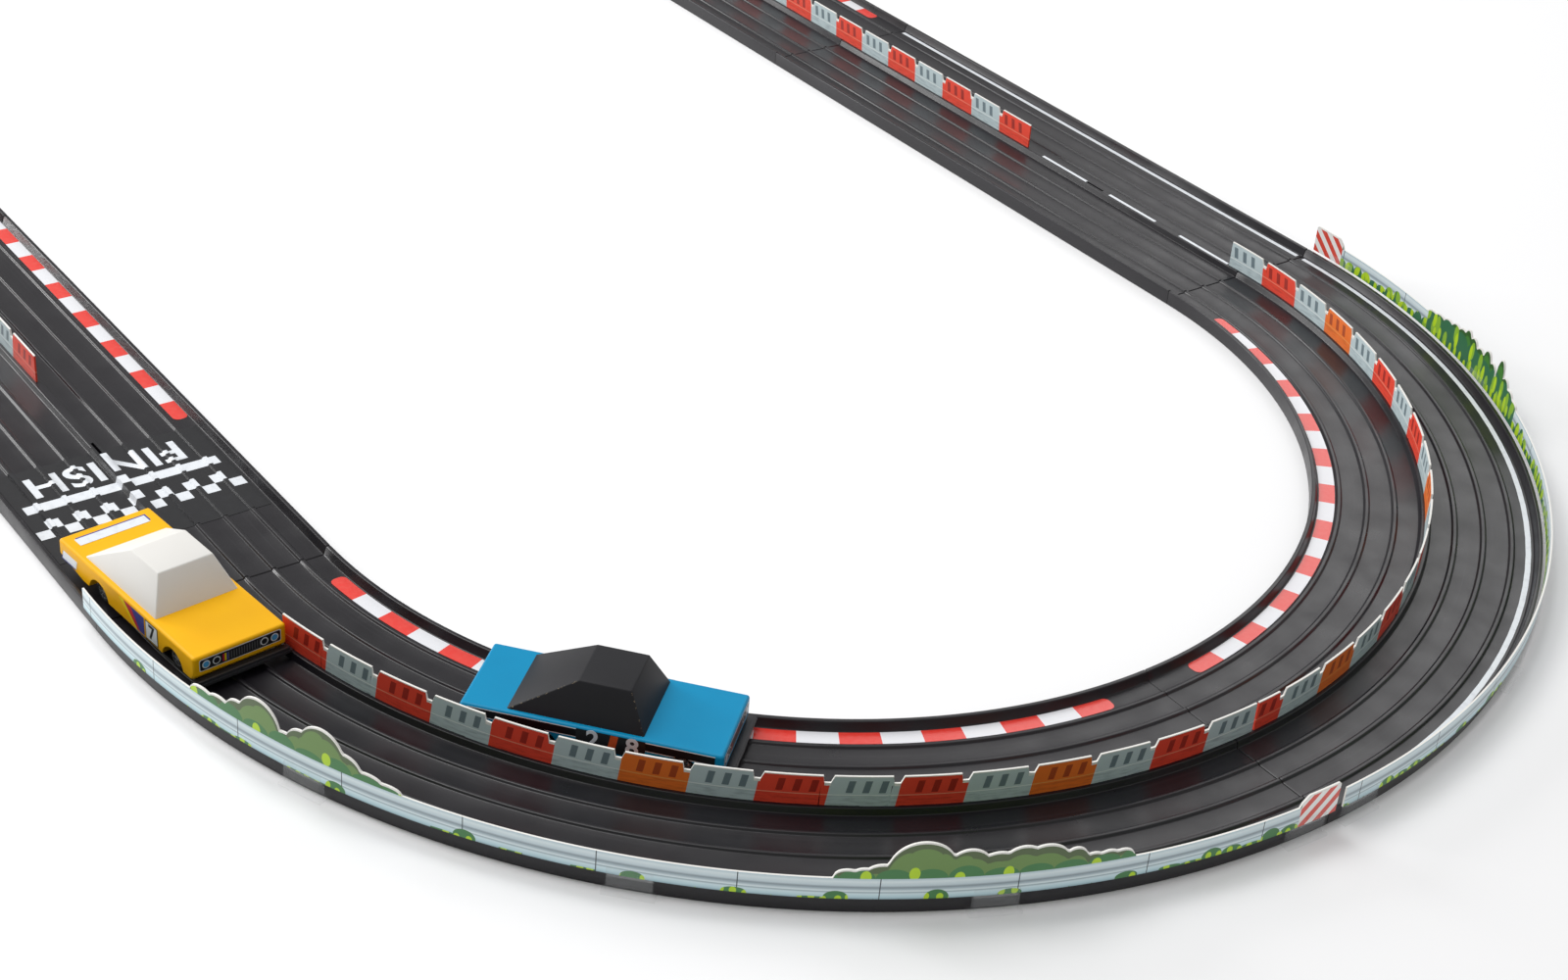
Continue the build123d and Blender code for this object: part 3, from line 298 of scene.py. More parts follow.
@dataclass(frozen=True)
class SceneryPrint(Finish):
    """Offset print on varnished card: a ribbed steel crash rail with a hedge above or before it.

    The UV map holds the distance along the board and the height in metres, and the attribute
    "hedge" holds how far the board's outline stands above the rail.

    Attributes:
        rail_low: height of the printed rail's foot in millimetres.
        rail_high: height of its top edge in millimetres.
        joint: distance between the rail's printed joints in millimetres.
        meadow: whether leaves cover the rail from its foot.
        rim: ink of the hedge's outline.
        mid: ink of its domes.
        deep: ink of its foot.
        rim_width: width of the outline's ink in millimetres.
        leaves: rows of leaves, each with its spacing, the height of its middles, the half width and
            half height of a leaf in millimetres, the share drawn and a seed.
        tufts: width, least and greatest height of the tufts before the rail in millimetres.
        tuft_foot: height that the tufts stand on in millimetres.
        bare: rise of the outline, in millimetres, past which a meadow hides the rail.
        ribs: shades of the rail from its foot to its top edge.
    """

    rail_low: float = 7.9
    rail_high: float = 17.2
    joint: float = 50.4
    meadow: bool = False
    rim: str = "#50633A"
    mid: str = "#6A8C46"
    deep: str = "#3D7C42"
    rim_width: float = 4.2
    leaves: Sequence[tuple[float, float, float, float, float, float]] = (
        (17.0, 18.6, 2.0, 2.9, 0.6, 1.0), (4.6, 8.3, 1.3, 1.7, 0.8, 17.0))
    tufts: tuple[float, float, float] = (9.0, -5.0, 4.2)
    tuft_foot: float = 8.4
    bare: float = 1.2
    ribs: Sequence[tuple[float, str]] = (
        (0.0, "#8FB0BA"), (0.1, "#BFDCE4"), (0.26, "#D9EDF2"), (0.33, "#9DB3BB"), (0.38, "#E6F3F6"),
        (0.5, "#A9BCC4"), (0.57, "#8E9CA4"), (0.66, "#C9DAE0"), (0.85, "#E3F0F3"), (1.0, "#BCD2DA"))

    def domes(self, tree: bpy.types.NodeTree, run: bpy.types.NodeSocket, width: float, low: float,
              high: float, seed: float) -> bpy.types.NodeSocket:
        """Draw a row of half-round tufts.

        Args:
            tree: the material's node tree.
            run: distance along the board in metres.
            width: width of a tuft in millimetres.
            low: least height of a tuft in millimetres.
            high: greatest height of a tuft in millimetres.
            seed: offset of the random heights.

        Returns:
            Height of the row's outline in metres.
        """
        cells = node(tree, "ShaderNodeMath", {0: run, 1: width * MM}, operation="DIVIDE")
        cell = node(tree, "ShaderNodeMath", {0: cells}, operation="FLOOR")
        key = node(tree, "ShaderNodeMath", {0: cell, 1: seed}, operation="ADD")
        chance = node(tree, "ShaderNodeTexWhiteNoise", {"W": key}, noise_dimensions="1D")
        tall = node(tree, "ShaderNodeMapRange", {"Value": chance.outputs["Value"], "To Min": low * MM,
                                                 "To Max": high * MM})
        share = node(tree, "ShaderNodeMath", {0: cells}, operation="FRACT")
        off = node(tree, "ShaderNodeMath", {0: share, 1: 2.0, 2: -1.0}, operation="MULTIPLY_ADD")
        square = node(tree, "ShaderNodeMath", {0: off, 1: off}, operation="MULTIPLY")
        rest = node(tree, "ShaderNodeMath", {0: 1.0, 1: square}, operation="SUBTRACT")
        arch = node(tree, "ShaderNodeMath", {0: rest, 1: 0.5}, operation="POWER")
        return node(tree, "ShaderNodeMath", {0: arch, 1: tall},
                    operation="MULTIPLY").outputs[0]

    def ovals(self, tree: bpy.types.NodeTree, run: bpy.types.NodeSocket, height: bpy.types.NodeSocket,
              pitch: float, middle: float, size: tuple[float, float], share: float,
              seed: float) -> bpy.types.NodeSocket:
        """Draw a row of upright leaves, a share of them left out.

        Args:
            tree: the material's node tree.
            run: distance along the board in metres.
            height: height above the floor in metres.
            pitch: distance between leaves in millimetres.
            middle: mean height of their middles in millimetres.
            size: half width and half height of a leaf in millimetres.
            share: how many of the leaves are drawn, from 0 to 1.
            seed: offset of the random places.

        Returns:
            One inside a leaf and zero outside.
        """
        cells = node(tree, "ShaderNodeMath", {0: run, 1: pitch * MM}, operation="DIVIDE")
        cell = node(tree, "ShaderNodeMath", {0: cells}, operation="FLOOR")
        key = node(tree, "ShaderNodeMath", {0: cell, 1: seed}, operation="ADD")
        chance = node(tree, "ShaderNodeTexWhiteNoise", {"W": key}, noise_dimensions="1D")
        tints = node(tree, "ShaderNodeSeparateColor", {0: chance.outputs["Color"]})
        part = node(tree, "ShaderNodeMath", {0: cells}, operation="FRACT")
        shift = node(tree, "ShaderNodeMath", {0: tints, 1: 0.3, 2: 0.35}, operation="MULTIPLY_ADD")
        away = node(tree, "ShaderNodeMath", {0: part, 1: shift}, operation="SUBTRACT")
        across = node(tree, "ShaderNodeMath", {0: away, 1: pitch / size[0]}, operation="MULTIPLY")
        level = node(tree, "ShaderNodeMapRange", {"Value": tints.outputs[1],
                                                  "To Min": (middle - size[1] * 0.7) * MM,
                                                  "To Max": (middle + size[1] * 0.7) * MM})
        rise = node(tree, "ShaderNodeMath", {0: height, 1: level}, operation="SUBTRACT")
        up = node(tree, "ShaderNodeMath", {0: rise, 1: size[1] * MM}, operation="DIVIDE")
        flat = node(tree, "ShaderNodeCombineXYZ", {0: across, 1: up})
        reach = node(tree, "ShaderNodeVectorMath", {0: flat}, operation="LENGTH")
        inside = node(tree, "ShaderNodeMath", {0: reach.outputs["Value"], 1: 1.0}, operation="LESS_THAN")
        drawn = node(tree, "ShaderNodeMath", {0: chance.outputs["Value"], 1: share}, operation="LESS_THAN")
        return node(tree, "ShaderNodeMath", {0: inside, 1: drawn},
                    operation="MULTIPLY").outputs[0]

    def build(self) -> bpy.types.Material:
        """Make the material."""
        material, tree, shader = self.begin()
        axes = node(tree, "ShaderNodeSeparateXYZ", {0: self.place(tree, Surface.UV)})
        run, height = axes.outputs[0], axes.outputs[1]
        level = node(tree, "ShaderNodeMapRange", {"Value": height, "From Min": self.rail_low * MM,
                                                  "From Max": self.rail_high * MM})
        rail = node(tree, "ShaderNodeValToRGB", {"Fac": level}, self.ribs)
        seam = node(tree, "ShaderNodeMath", {0: run, 1: self.joint * MM}, operation="FLOORED_MODULO")
        dark = node(tree, "ShaderNodeMath", {0: seam, 1: 0.0004}, operation="LESS_THAN")
        colour = node(tree, "ShaderNodeMix", {"Factor": dark, "A": rail, "B": linear("#3D4A50")},
                      data_type="RGBA").outputs[2]
        # the hedge: a dark rim under its outline, rounder domes inside and a deep foot
        rise = node(tree, "ShaderNodeAttribute", attribute_name="hedge").outputs["Fac"]
        crown = node(tree, "ShaderNodeMath", {0: rise, 1: self.rail_high * MM}, operation="ADD")
        depth = node(tree, "ShaderNodeMath", {0: crown, 1: height}, operation="SUBTRACT")
        lobes = self.domes(tree, run, 11.0, 0.0, 2.4, 3.0)
        inner = node(tree, "ShaderNodeMath", {0: self.rim_width * MM, 1: lobes}, operation="SUBTRACT")
        rimmed = node(tree, "ShaderNodeMath", {0: depth, 1: inner}, operation="GREATER_THAN")
        green = node(tree, "ShaderNodeMix", {"Factor": rimmed, "A": linear(self.rim),
                                             "B": linear(self.mid)}, data_type="RGBA").outputs[2]
        foot = self.domes(tree, run, 13.0, 3.0, 5.5, 8.0)
        ground = node(tree, "ShaderNodeMath", {0: foot, 1: self.rail_high * MM}, operation="ADD")
        low = node(tree, "ShaderNodeMath", {0: height, 1: ground}, operation="LESS_THAN")
        green = node(tree, "ShaderNodeMix", {"Factor": low, "A": green, "B": linear(self.deep)},
                     data_type="RGBA").outputs[2]
        for pitch, middle, wide, tall, share, seed in self.leaves:
            leaf = self.ovals(tree, run, height, pitch, middle, (wide, tall), share, seed)
            bright = linear("#B8DC12" if seed % 4 == 1 else "#8DBB2C")
            green = node(tree, "ShaderNodeMix", {"Factor": leaf, "A": green, "B": bright},
                         data_type="RGBA").outputs[2]
        # what grows in front of the rail: a meadow, or a few tufts at its foot
        tufts = self.domes(tree, run, *self.tufts, 21.0)
        edge = node(tree, "ShaderNodeMath", {0: tufts, 1: self.tuft_foot * MM}, operation="ADD")
        before = node(tree, "ShaderNodeMath", {0: height, 1: edge}, operation="LESS_THAN")
        above = node(tree, "ShaderNodeMath", {0: height, 1: self.rail_high * MM}, operation="GREATER_THAN")
        cover = node(tree, "ShaderNodeMath", {0: before, 1: above}, operation="MAXIMUM")
        if self.meadow:
            grown = node(tree, "ShaderNodeMath", {0: rise, 1: self.bare * MM}, operation="GREATER_THAN")
            cover = node(tree, "ShaderNodeMath", {0: cover, 1: grown}, operation="MAXIMUM")
        grown = node(tree, "ShaderNodeMix", {"Factor": cover, "A": colour, "B": green}, data_type="RGBA")
        tree.links.new(grown.outputs[2], shader.inputs["Base Color"])
        shader.inputs["Coat Weight"].default_value = 0.2
        shader.inputs["Coat Roughness"].default_value = 0.3
        return material


@dataclass(frozen=True)
class BandPrint(Finish):
    """Print in two inks that take turns along a band, straight across it or slanted, the first ink lightened
    in noisy patches of painted sheen.

    Attributes:
        first: ink of the odd fields.
        second: ink of the even fields.
        pitch: length of one pair of fields in millimetres.
        slant: how far a field leans for each unit of height.
    """

    first: str = "#E8362C"
    second: str = "#E9EAEE"
    pitch: float = 33.0
    slant: float = 0.0

    def build(self) -> bpy.types.Material:
        """Make the material. The UV map holds the distance along the band and across it, in metres."""
        material, tree, shader = self.begin()
        flat = self.place(tree, Surface.UV)
        axes = node(tree, "ShaderNodeSeparateXYZ", {0: flat})
        lean = node(tree, "ShaderNodeMath", {0: axes.outputs[1], 1: self.slant, 2: axes},
                    operation="MULTIPLY_ADD")
        wave = node(tree, "ShaderNodeMath", {0: lean, 1: self.pitch * MM}, operation="FLOORED_MODULO")
        odd = node(tree, "ShaderNodeMath", {0: wave, 1: self.pitch * MM / 2}, operation="LESS_THAN")
        # painted sheen: the first ink is lightened towards a pale red in noisy patches
        sheen_noise = node(tree, "ShaderNodeTexNoise", {"Vector": flat, "Scale": 420.0, "Detail": 3.0})
        thin = node(tree, "ShaderNodeMapRange", {"Value": sheen_noise, "From Min": 0.35, "From Max": 0.75,
                                                 "To Max": 0.16})
        ink = node(tree, "ShaderNodeMix", {"Factor": thin, "A": linear(self.first),
                                           "B": linear("#F08070")}, data_type="RGBA")
        fields = node(tree, "ShaderNodeMix", {"Factor": odd, "A": linear(self.second),
                                              "B": ink.outputs[2]}, data_type="RGBA")
        tree.links.new(fields.outputs[2], shader.inputs["Base Color"])
        shader.inputs["Coat Weight"].default_value = 0.4
        shader.inputs["Coat Roughness"].default_value = 0.2
        return material


@dataclass(frozen=True)
class PlainPrint(Finish):
    """One ink on vinyl film, a little uneven where the film stretched.

    Attributes:
        colour: the ink.
        worn: the colour of its thin places.
    """

    colour: str = "#E3E7EC"
    worn: str = "#C2C6CD"

    def build(self) -> bpy.types.Material:
        """Make the material."""
        material, tree, shader = self.begin()
        patch = node(tree, "ShaderNodeTexNoise", {"Vector": self.place(tree), "Scale": 260.0, "Detail": 5.0})
        thin = node(tree, "ShaderNodeMapRange", {"Value": patch, "From Min": 0.52, "From Max": 0.78,
                                                 "To Max": 0.6})
        ink = node(tree, "ShaderNodeMix", {"Factor": thin, "A": linear(self.colour),
                                           "B": linear(self.worn)}, data_type="RGBA")
        tree.links.new(ink.outputs[2], shader.inputs["Base Color"])
        return material


@dataclass(frozen=True)
class Enamel(Finish):
    """Sprayed enamel over sanded limewood: orange peel and chipped edges.

    Attributes:
        colour: the enamel.
        shade: the enamel where it lies thin.
        wood: what shows where an edge is chipped.
        wear: how much of the edges is chipped, from 0 to 1.
        peel: spacing of the orange peel in millimetres.
    """

    colour: str = "#F8BC05"
    shade: str = "#F0AD03"
    wood: str = "#D9C29A"
    wear: float = 0.25
    peel: float = 1.1

    def coat(self, tree: bpy.types.NodeTree, shader: bpy.types.Node,
             over: bpy.types.NodeSocket | None) -> None:
        """Lay the enamel on a shader, with any printed colour over it and the chips through both."""
        spot = self.place(tree)
        cloud = node(tree, "ShaderNodeTexNoise", {"Vector": spot, "Scale": 45.0, "Detail": 3.0})
        base = node(tree, "ShaderNodeMix", {"Factor": cloud, "A": linear(self.shade),
                                            "B": linear(self.colour)}, data_type="RGBA")
        colour = over if over else base.outputs[2]
        if over:
            mixer = over.node
            tree.links.new(base.outputs[2], mixer.inputs["A"])
        # an edge is where the rounded normal leaves the true one by more than a few degrees
        soft = node(tree, "ShaderNodeBevel", {"Radius": 0.35 * MM}, samples=6)
        hard = node(tree, "ShaderNodeNewGeometry")
        facing = node(tree, "ShaderNodeVectorMath", {0: soft, 1: hard.outputs["Normal"]},
                      operation="DOT_PRODUCT")
        edge = node(tree, "ShaderNodeMapRange", {"Value": facing.outputs["Value"], "From Min": 0.995,
                                                 "From Max": 0.95})
        chips = node(tree, "ShaderNodeTexNoise", {"Vector": spot, "Scale": 900.0, "Detail": 2.0})
        few = node(tree, "ShaderNodeMapRange", {"Value": chips, "From Min": 0.74 - 0.2 * self.wear,
                                                "From Max": 0.76 - 0.2 * self.wear})
        chipped = node(tree, "ShaderNodeMath", {0: edge, 1: few}, operation="MULTIPLY")
        worn = node(tree, "ShaderNodeMix", {"Factor": chipped, "A": colour, "B": linear(self.wood)},
                    data_type="RGBA")
        tree.links.new(worn.outputs[2], shader.inputs["Base Color"])
        skin = node(tree, "ShaderNodeTexNoise", {"Vector": spot, "Scale": 1.0 / (self.peel * MM),
                                                 "Detail": 1.5})
        bump = node(tree, "ShaderNodeBump", {"Height": skin, "Strength": 0.35, "Distance": 0.02 * MM,
                                             "Normal": soft})
        tree.links.new(bump.outputs[0], shader.inputs["Normal"])
        shader.inputs["Specular IOR Level"].default_value = 0.2

    def build(self) -> bpy.types.Material:
        """Make the material."""
        material, tree, shader = self.begin()
        self.coat(tree, shader, None)
        return material


@dataclass(frozen=True)
class BandedEnamel(Enamel):
    """Enamel with a printed band and two pinlines along both flanks of a car.

    Attributes:
        to_car: matrix from the shared frame to the car's own axes.
        band: ink of the band.
        low: height of the band's lower edge in millimetres.
        high: height of its upper edge in millimetres.
        reach: half the band's length in millimetres.
        flank: distance of the flank from the car's middle in millimetres.
    """

    to_car: Matrix = field(default_factory=Matrix)
    band: str = "#161619"
    low: float = 13.9
    high: float = 18.0
    reach: float = 48.4
    flank: float = 20.2

    def build(self) -> bpy.types.Material:
        """Make the material."""
        material, tree, shader = self.begin()
        turn = self.to_car.to_euler()
        spot = node(tree, "ShaderNodeMapping", {"Vector": self.place(tree), "Rotation": turn,
                                                "Location": self.to_car.to_translation()})
        axes = node(tree, "ShaderNodeSeparateXYZ", {0: spot})
        middle = (self.low + self.high) / 2 * MM
        half = (self.high - self.low) / 2 * MM
        tall = node(tree, "ShaderNodeMath", {0: axes.outputs[2], 1: middle, 2: half}, operation="COMPARE")
        field_ = node(tree, "ShaderNodeMath", {0: axes.outputs[2], 1: middle, 2: half - 0.35 * MM},
                      operation="COMPARE")
        along = node(tree, "ShaderNodeMath", {0: axes, 1: 0.0, 2: self.reach * MM}, operation="COMPARE")
        out = node(tree, "ShaderNodeMath", {0: axes.outputs[1]}, operation="ABSOLUTE")
        side = node(tree, "ShaderNodeMath", {0: out, 1: self.flank * MM}, operation="GREATER_THAN")
        here = node(tree, "ShaderNodeMath", {0: along, 1: side}, operation="MULTIPLY")
        mask = node(tree, "ShaderNodeMath", {0: here, 1: tall}, operation="MULTIPLY")
        inks = node(tree, "ShaderNodeMix", {"Factor": field_, "A": linear("#E6E8EA"),
                                            "B": linear(self.band)}, data_type="RGBA")
        printed = node(tree, "ShaderNodeMix", {"Factor": mask, "B": inks.outputs[2]}, data_type="RGBA")
        self.coat(tree, shader, printed.outputs[2])
        return material


@dataclass(frozen=True)
class Metal(Finish):
    """Machined or plated metal with fine turning marks.

    Attributes:
        colour: the metal.
        mark: spacing of the marks in millimetres.
    """

    colour: str = "#C8C9CC"
    mark: float = 0.25

    def build(self) -> bpy.types.Material:
        """Make the material."""
        material, tree, shader = self.begin()
        shader.inputs["Metallic"].default_value = 1.0
        spot = self.place(tree)
        marks = node(tree, "ShaderNodeTexNoise", {"Vector": spot, "Scale": 1.0 / (self.mark * MM),
                                                  "Detail": 3.0})
        tint = node(tree, "ShaderNodeMix", {"Factor": marks, "A": linear("#8E9094"),
                                            "B": linear(self.colour)}, data_type="RGBA")
        tree.links.new(tint.outputs[2], shader.inputs["Base Color"])
        rough = node(tree, "ShaderNodeMapRange", {"Value": marks, "To Min": self.roughness - 0.08,
                                                  "To Max": self.roughness + 0.1})
        tree.links.new(rough.outputs[0], shader.inputs["Roughness"])
        return material


@dataclass(frozen=True)
class FloorPaint(Finish):
    """Matt white studio floor."""

    def build(self) -> bpy.types.Material:
        """Make the material."""
        material, _, shader = self.begin()
        shader.inputs["Base Color"].default_value = (0.94, 0.94, 0.945, 1.0)
        return material


# ---------------------------------------------------------------- mesh work
class Part(Enum):
    """What a pick selects in edit mode."""

    VERT = "VERT"
    EDGE = "EDGE"
    FACE = "FACE"


def only(piece: bpy.types.Object) -> None:
    """Leave one piece selected and active, in object mode."""
    bpy.ops.object.select_all(action="DESELECT")
    piece.select_set(True)
    bpy.context.view_layer.objects.active = piece


@contextmanager
def editing(piece: bpy.types.Object) -> Iterator[None]:
    """Hold a piece in edit mode with all of it selected."""
    only(piece)
    bpy.ops.object.mode_set(mode="EDIT")
    bpy.ops.mesh.select_all(action="SELECT")
    yield
    bpy.ops.object.mode_set(mode="OBJECT")


def pick(piece: bpy.types.Object, part: Part, test: Callable[[Vector], bool]) -> int:
    """Select the elements whose middle passes a test.

    Args:
        piece: the object in edit mode.
        part: whether vertices, edges or faces are selected.
        test: says whether a place, in metres, counts.

    Returns:
        How many were selected.
    """
    bpy.ops.mesh.select_mode(type=part.value)
    bpy.ops.mesh.select_all(action="DESELECT")
    mesh = bmesh.from_edit_mesh(piece.data)
    if part is Part.VERT:
        chosen = [v for v in mesh.verts if test(v.co)]
    elif part is Part.EDGE:
        chosen = [e for e in mesh.edges if test((e.verts[0].co + e.verts[1].co) / 2)]
    else:
        chosen = [f for f in mesh.faces if test(f.calc_center_median())]
    for element in chosen:
        element.select_set(True)
    mesh.select_flush_mode()
    bmesh.update_edit_mesh(piece.data)
    return len(chosen)


def settle(piece: bpy.types.Object, name: str) -> bpy.types.Object:
    """Apply a piece's place to its mesh and name both."""
    only(piece)
    bpy.ops.object.transform_apply(location=True, rotation=True, scale=True)
    piece.name = name
    piece.data.name = name
    return piece


def panel(name: str, x: tuple[float, float], z: tuple[float, float]) -> bpy.types.Object:
    """Add an upright plane between two distances along X and two heights, in millimetres."""
    bpy.ops.mesh.primitive_plane_add(size=1.0, rotation=(math.pi / 2, 0, 0),
                                     location=((x[0] + x[1]) / 2 * MM, 0, (z[0] + z[1]) / 2 * MM))
    piece = bpy.context.active_object
    piece.scale = ((x[1] - x[0]) * MM, (z[1] - z[0]) * MM, 1.0)
    return settle(piece, name)


def sheet(name: str, x: tuple[float, float], y: tuple[float, float], z: float) -> bpy.types.Object:
    """Add a level plane between two distances along X and two across, in millimetres."""
    middle = ((x[0] + x[1]) / 2 * MM, (y[0] + y[1]) / 2 * MM, z * MM)
    bpy.ops.mesh.primitive_plane_add(size=1.0, location=middle)
    piece = bpy.context.active_object
    piece.scale = ((x[1] - x[0]) * MM, (y[1] - y[0]) * MM, 1.0)
    return settle(piece, name)


def slice_at(places: Sequence[float], normal: tuple[float, float, float]) -> None:
    """Cut the piece in edit mode by parallel planes.

    Args:
        places: distances of the planes from the origin along the normal, in millimetres.
        normal: the planes' direction.
    """
    for place in places:
        bpy.ops.mesh.select_all(action="SELECT")
        bpy.ops.mesh.bisect(plane_co=Vector(normal) * place * MM, plane_no=normal)


def add_modifier(piece: bpy.types.Object, kind: str, **settings: object) -> None:
    """Add a modifier with its settings and apply it."""
    only(piece)
    modifier = piece.modifiers.new(kind, kind)
    for name, value in settings.items():
        setattr(modifier, name, value)
    bpy.ops.object.modifier_apply(modifier=modifier.name)


def lay_uv(piece: bpy.types.Object, u: Callable[[Vector], float], v: Callable[[Vector], float]) -> None:
    """Store two lengths of each corner, in metres, as the piece's UV map."""
    layer = piece.data.uv_layers.active or piece.data.uv_layers.new(name="UVMap")
    for loop in piece.data.loops:
        place = piece.data.vertices[loop.vertex_index].co
        layer.data[loop.index].uv = (u(place), v(place))


def bend(piece: bpy.types.Object, radius: float) -> None:
    """Wrap a piece that lies along X round a circle whose middle is then the origin.

    The piece's own X is the arc length from the circle's lowest point, anticlockwise, and -Y is outwards.

    Args:
        piece: the piece, with its place in its mesh.
        radius: radius of the circle that Y = 0 becomes, in millimetres.
    """
    along = [v.co.x for v in piece.data.vertices]
    span = max(along) - min(along)
    add_modifier(piece, "SIMPLE_DEFORM", deform_method="BEND", deform_axis="Z", angle=span / (radius * MM))
    piece.location = (0, -radius * MM, 0)
    settle(piece, piece.name)


def turned(piece: bpy.types.Object, degrees: float, x: float = 0.0, y: float = 0.0) -> bpy.types.Object:
    """Turn a piece about the origin's Z axis and then move it, in its mesh."""
    piece.rotation_euler = (0, 0, math.radians(degrees))
    piece.location = (x * MM, y * MM, 0)
    return settle(piece, piece.name)


def twin(piece: bpy.types.Object, name: str) -> bpy.types.Object:
    """Copy a piece with a mesh of its own."""
    copy = piece.copy()
    copy.data = piece.data.copy()
    bpy.context.scene.collection.objects.link(copy)
    copy.name = name
    copy.data.name = name
    return copy


def dress(piece: bpy.types.Object, *materials: bpy.types.Material) -> None:
    """Give a piece its materials, in the order of its faces' slots."""
    slots = [face.material_index for face in piece.data.polygons]
    piece.data.materials.clear()
    for material in materials:
        piece.data.materials.append(material)
    if len(materials) > 1:
        piece.data.polygons.foreach_set("material_index", slots)


def finish_piece(piece: bpy.types.Object, body: str, slot: str, *nodes: str) -> None:
    """Let a piece ride on a body and hide the CAD nodes it stands for."""
    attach(piece, body)
    if nodes:
        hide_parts(*nodes)
    log.info("%s rides on %s, %d faces", piece.name, body, len(piece.data.polygons))


def smooth(piece: bpy.types.Object, degrees: float = 30.0) -> None:
    """Shade a piece smooth except across its sharp edges."""
    only(piece)
    bpy.ops.object.shade_smooth_by_angle(angle=math.radians(degrees))


# ---------------------------------------------------------------- the circuit's own sizes
@dataclass
class Circuit:
    """Driving sizes of the circuit in millimetres, and places read from the frame."""

    width: float = 103.0
    deck: float = 3.7
    under: float = 1.9
    wall: float = 7.6
    wall_top: float = 1.85
    wall_foot: float = 3.2
    wall_base: float = 2.0
    median: float = 6.7
    median_top: float = 1.95
    median_foot: float = 2.7
    rib: float = 4.6
    rib_top: float = 0.8
    rib_foot: float = 1.35
    rib_first: float = 13.4
    rib_pitch: float = 12.6
    seam: float = 0.3
    outer: float = field(init=False)
    middle: float = field(init=False)
    straight: float = field(init=False)

    def __post_init__(self) -> None:
        """Read the oval's radii and the straight's length from the near straight."""
        low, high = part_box("near_straight_2")
        self.outer = -low.y / MM
        self.middle = self.outer - self.width / 2
        self.straight = round(-low.x / MM + self.seam / 2, 1)

    @property
    def ribs(self) -> list[float]:
        """Distances of the running ribs from the section's middle line."""
        steps = [self.rib_first + self.rib_pitch * n for n in range(3)]
        return [-s for s in steps] + steps

    def top(self, across: float) -> float:
        """Height of the upper surface at a distance from the section's middle line."""
        distance = abs(across)
        wall_side = self.width / 2 - distance
        if wall_side < self.wall_foot:
            slope = (self.wall_foot - wall_side) / (self.wall_foot - self.wall_top)
            return self.deck + (self.wall - self.deck) * min(1.0, slope)
        ridges = [(0.0, self.median_foot, self.median_top, self.median)]
        ridges += [(r, self.rib_foot, self.rib_top, self.rib) for r in self.ribs]
        for centre, foot, flat, height in ridges:
            off = abs(across - centre)
            if off < foot:
                return self.deck + (height - self.deck) * min(1.0, (foot - off) / (foot - flat))
        return self.deck

    def bottom(self, across: float) -> float:
        """Height of the lower surface at a distance from the section's middle line."""
        return 0.0 if self.width / 2 - abs(across) < self.wall_base + 0.01 else self.under

    @property
    def breaks(self) -> list[float]:
        """Distances from the middle line where the upper surface changes its slope."""
        places = [s * f for s in (1, -1) for f in (self.median_foot, self.median_top)]
        for rib in self.ribs:
            places += [rib + s * f for s in (1, -1) for f in (self.rib_foot, self.rib_top)]
        half = self.width / 2
        places += [s * (half - f) for s in (1, -1) for f in (self.wall_foot, self.wall_top)]
        return places

    def drape(self, piece: bpy.types.Object, lift: float) -> None:
        """Lay a flat piece on the near straight over its ribs.

        Args:
            piece: a level mesh in place, cut at the ribs.
            lift: how far above the deck it lies, in millimetres.
        """
        for vertex in piece.data.vertices:
            across = -vertex.co.y / MM - self.middle
            vertex.co.z = (self.top(across) + lift) * MM

    def rib_cuts(self) -> list[float]:
        """Y of each slope change on the near straight, in millimetres."""
        return [-self.middle - place for place in self.breaks]


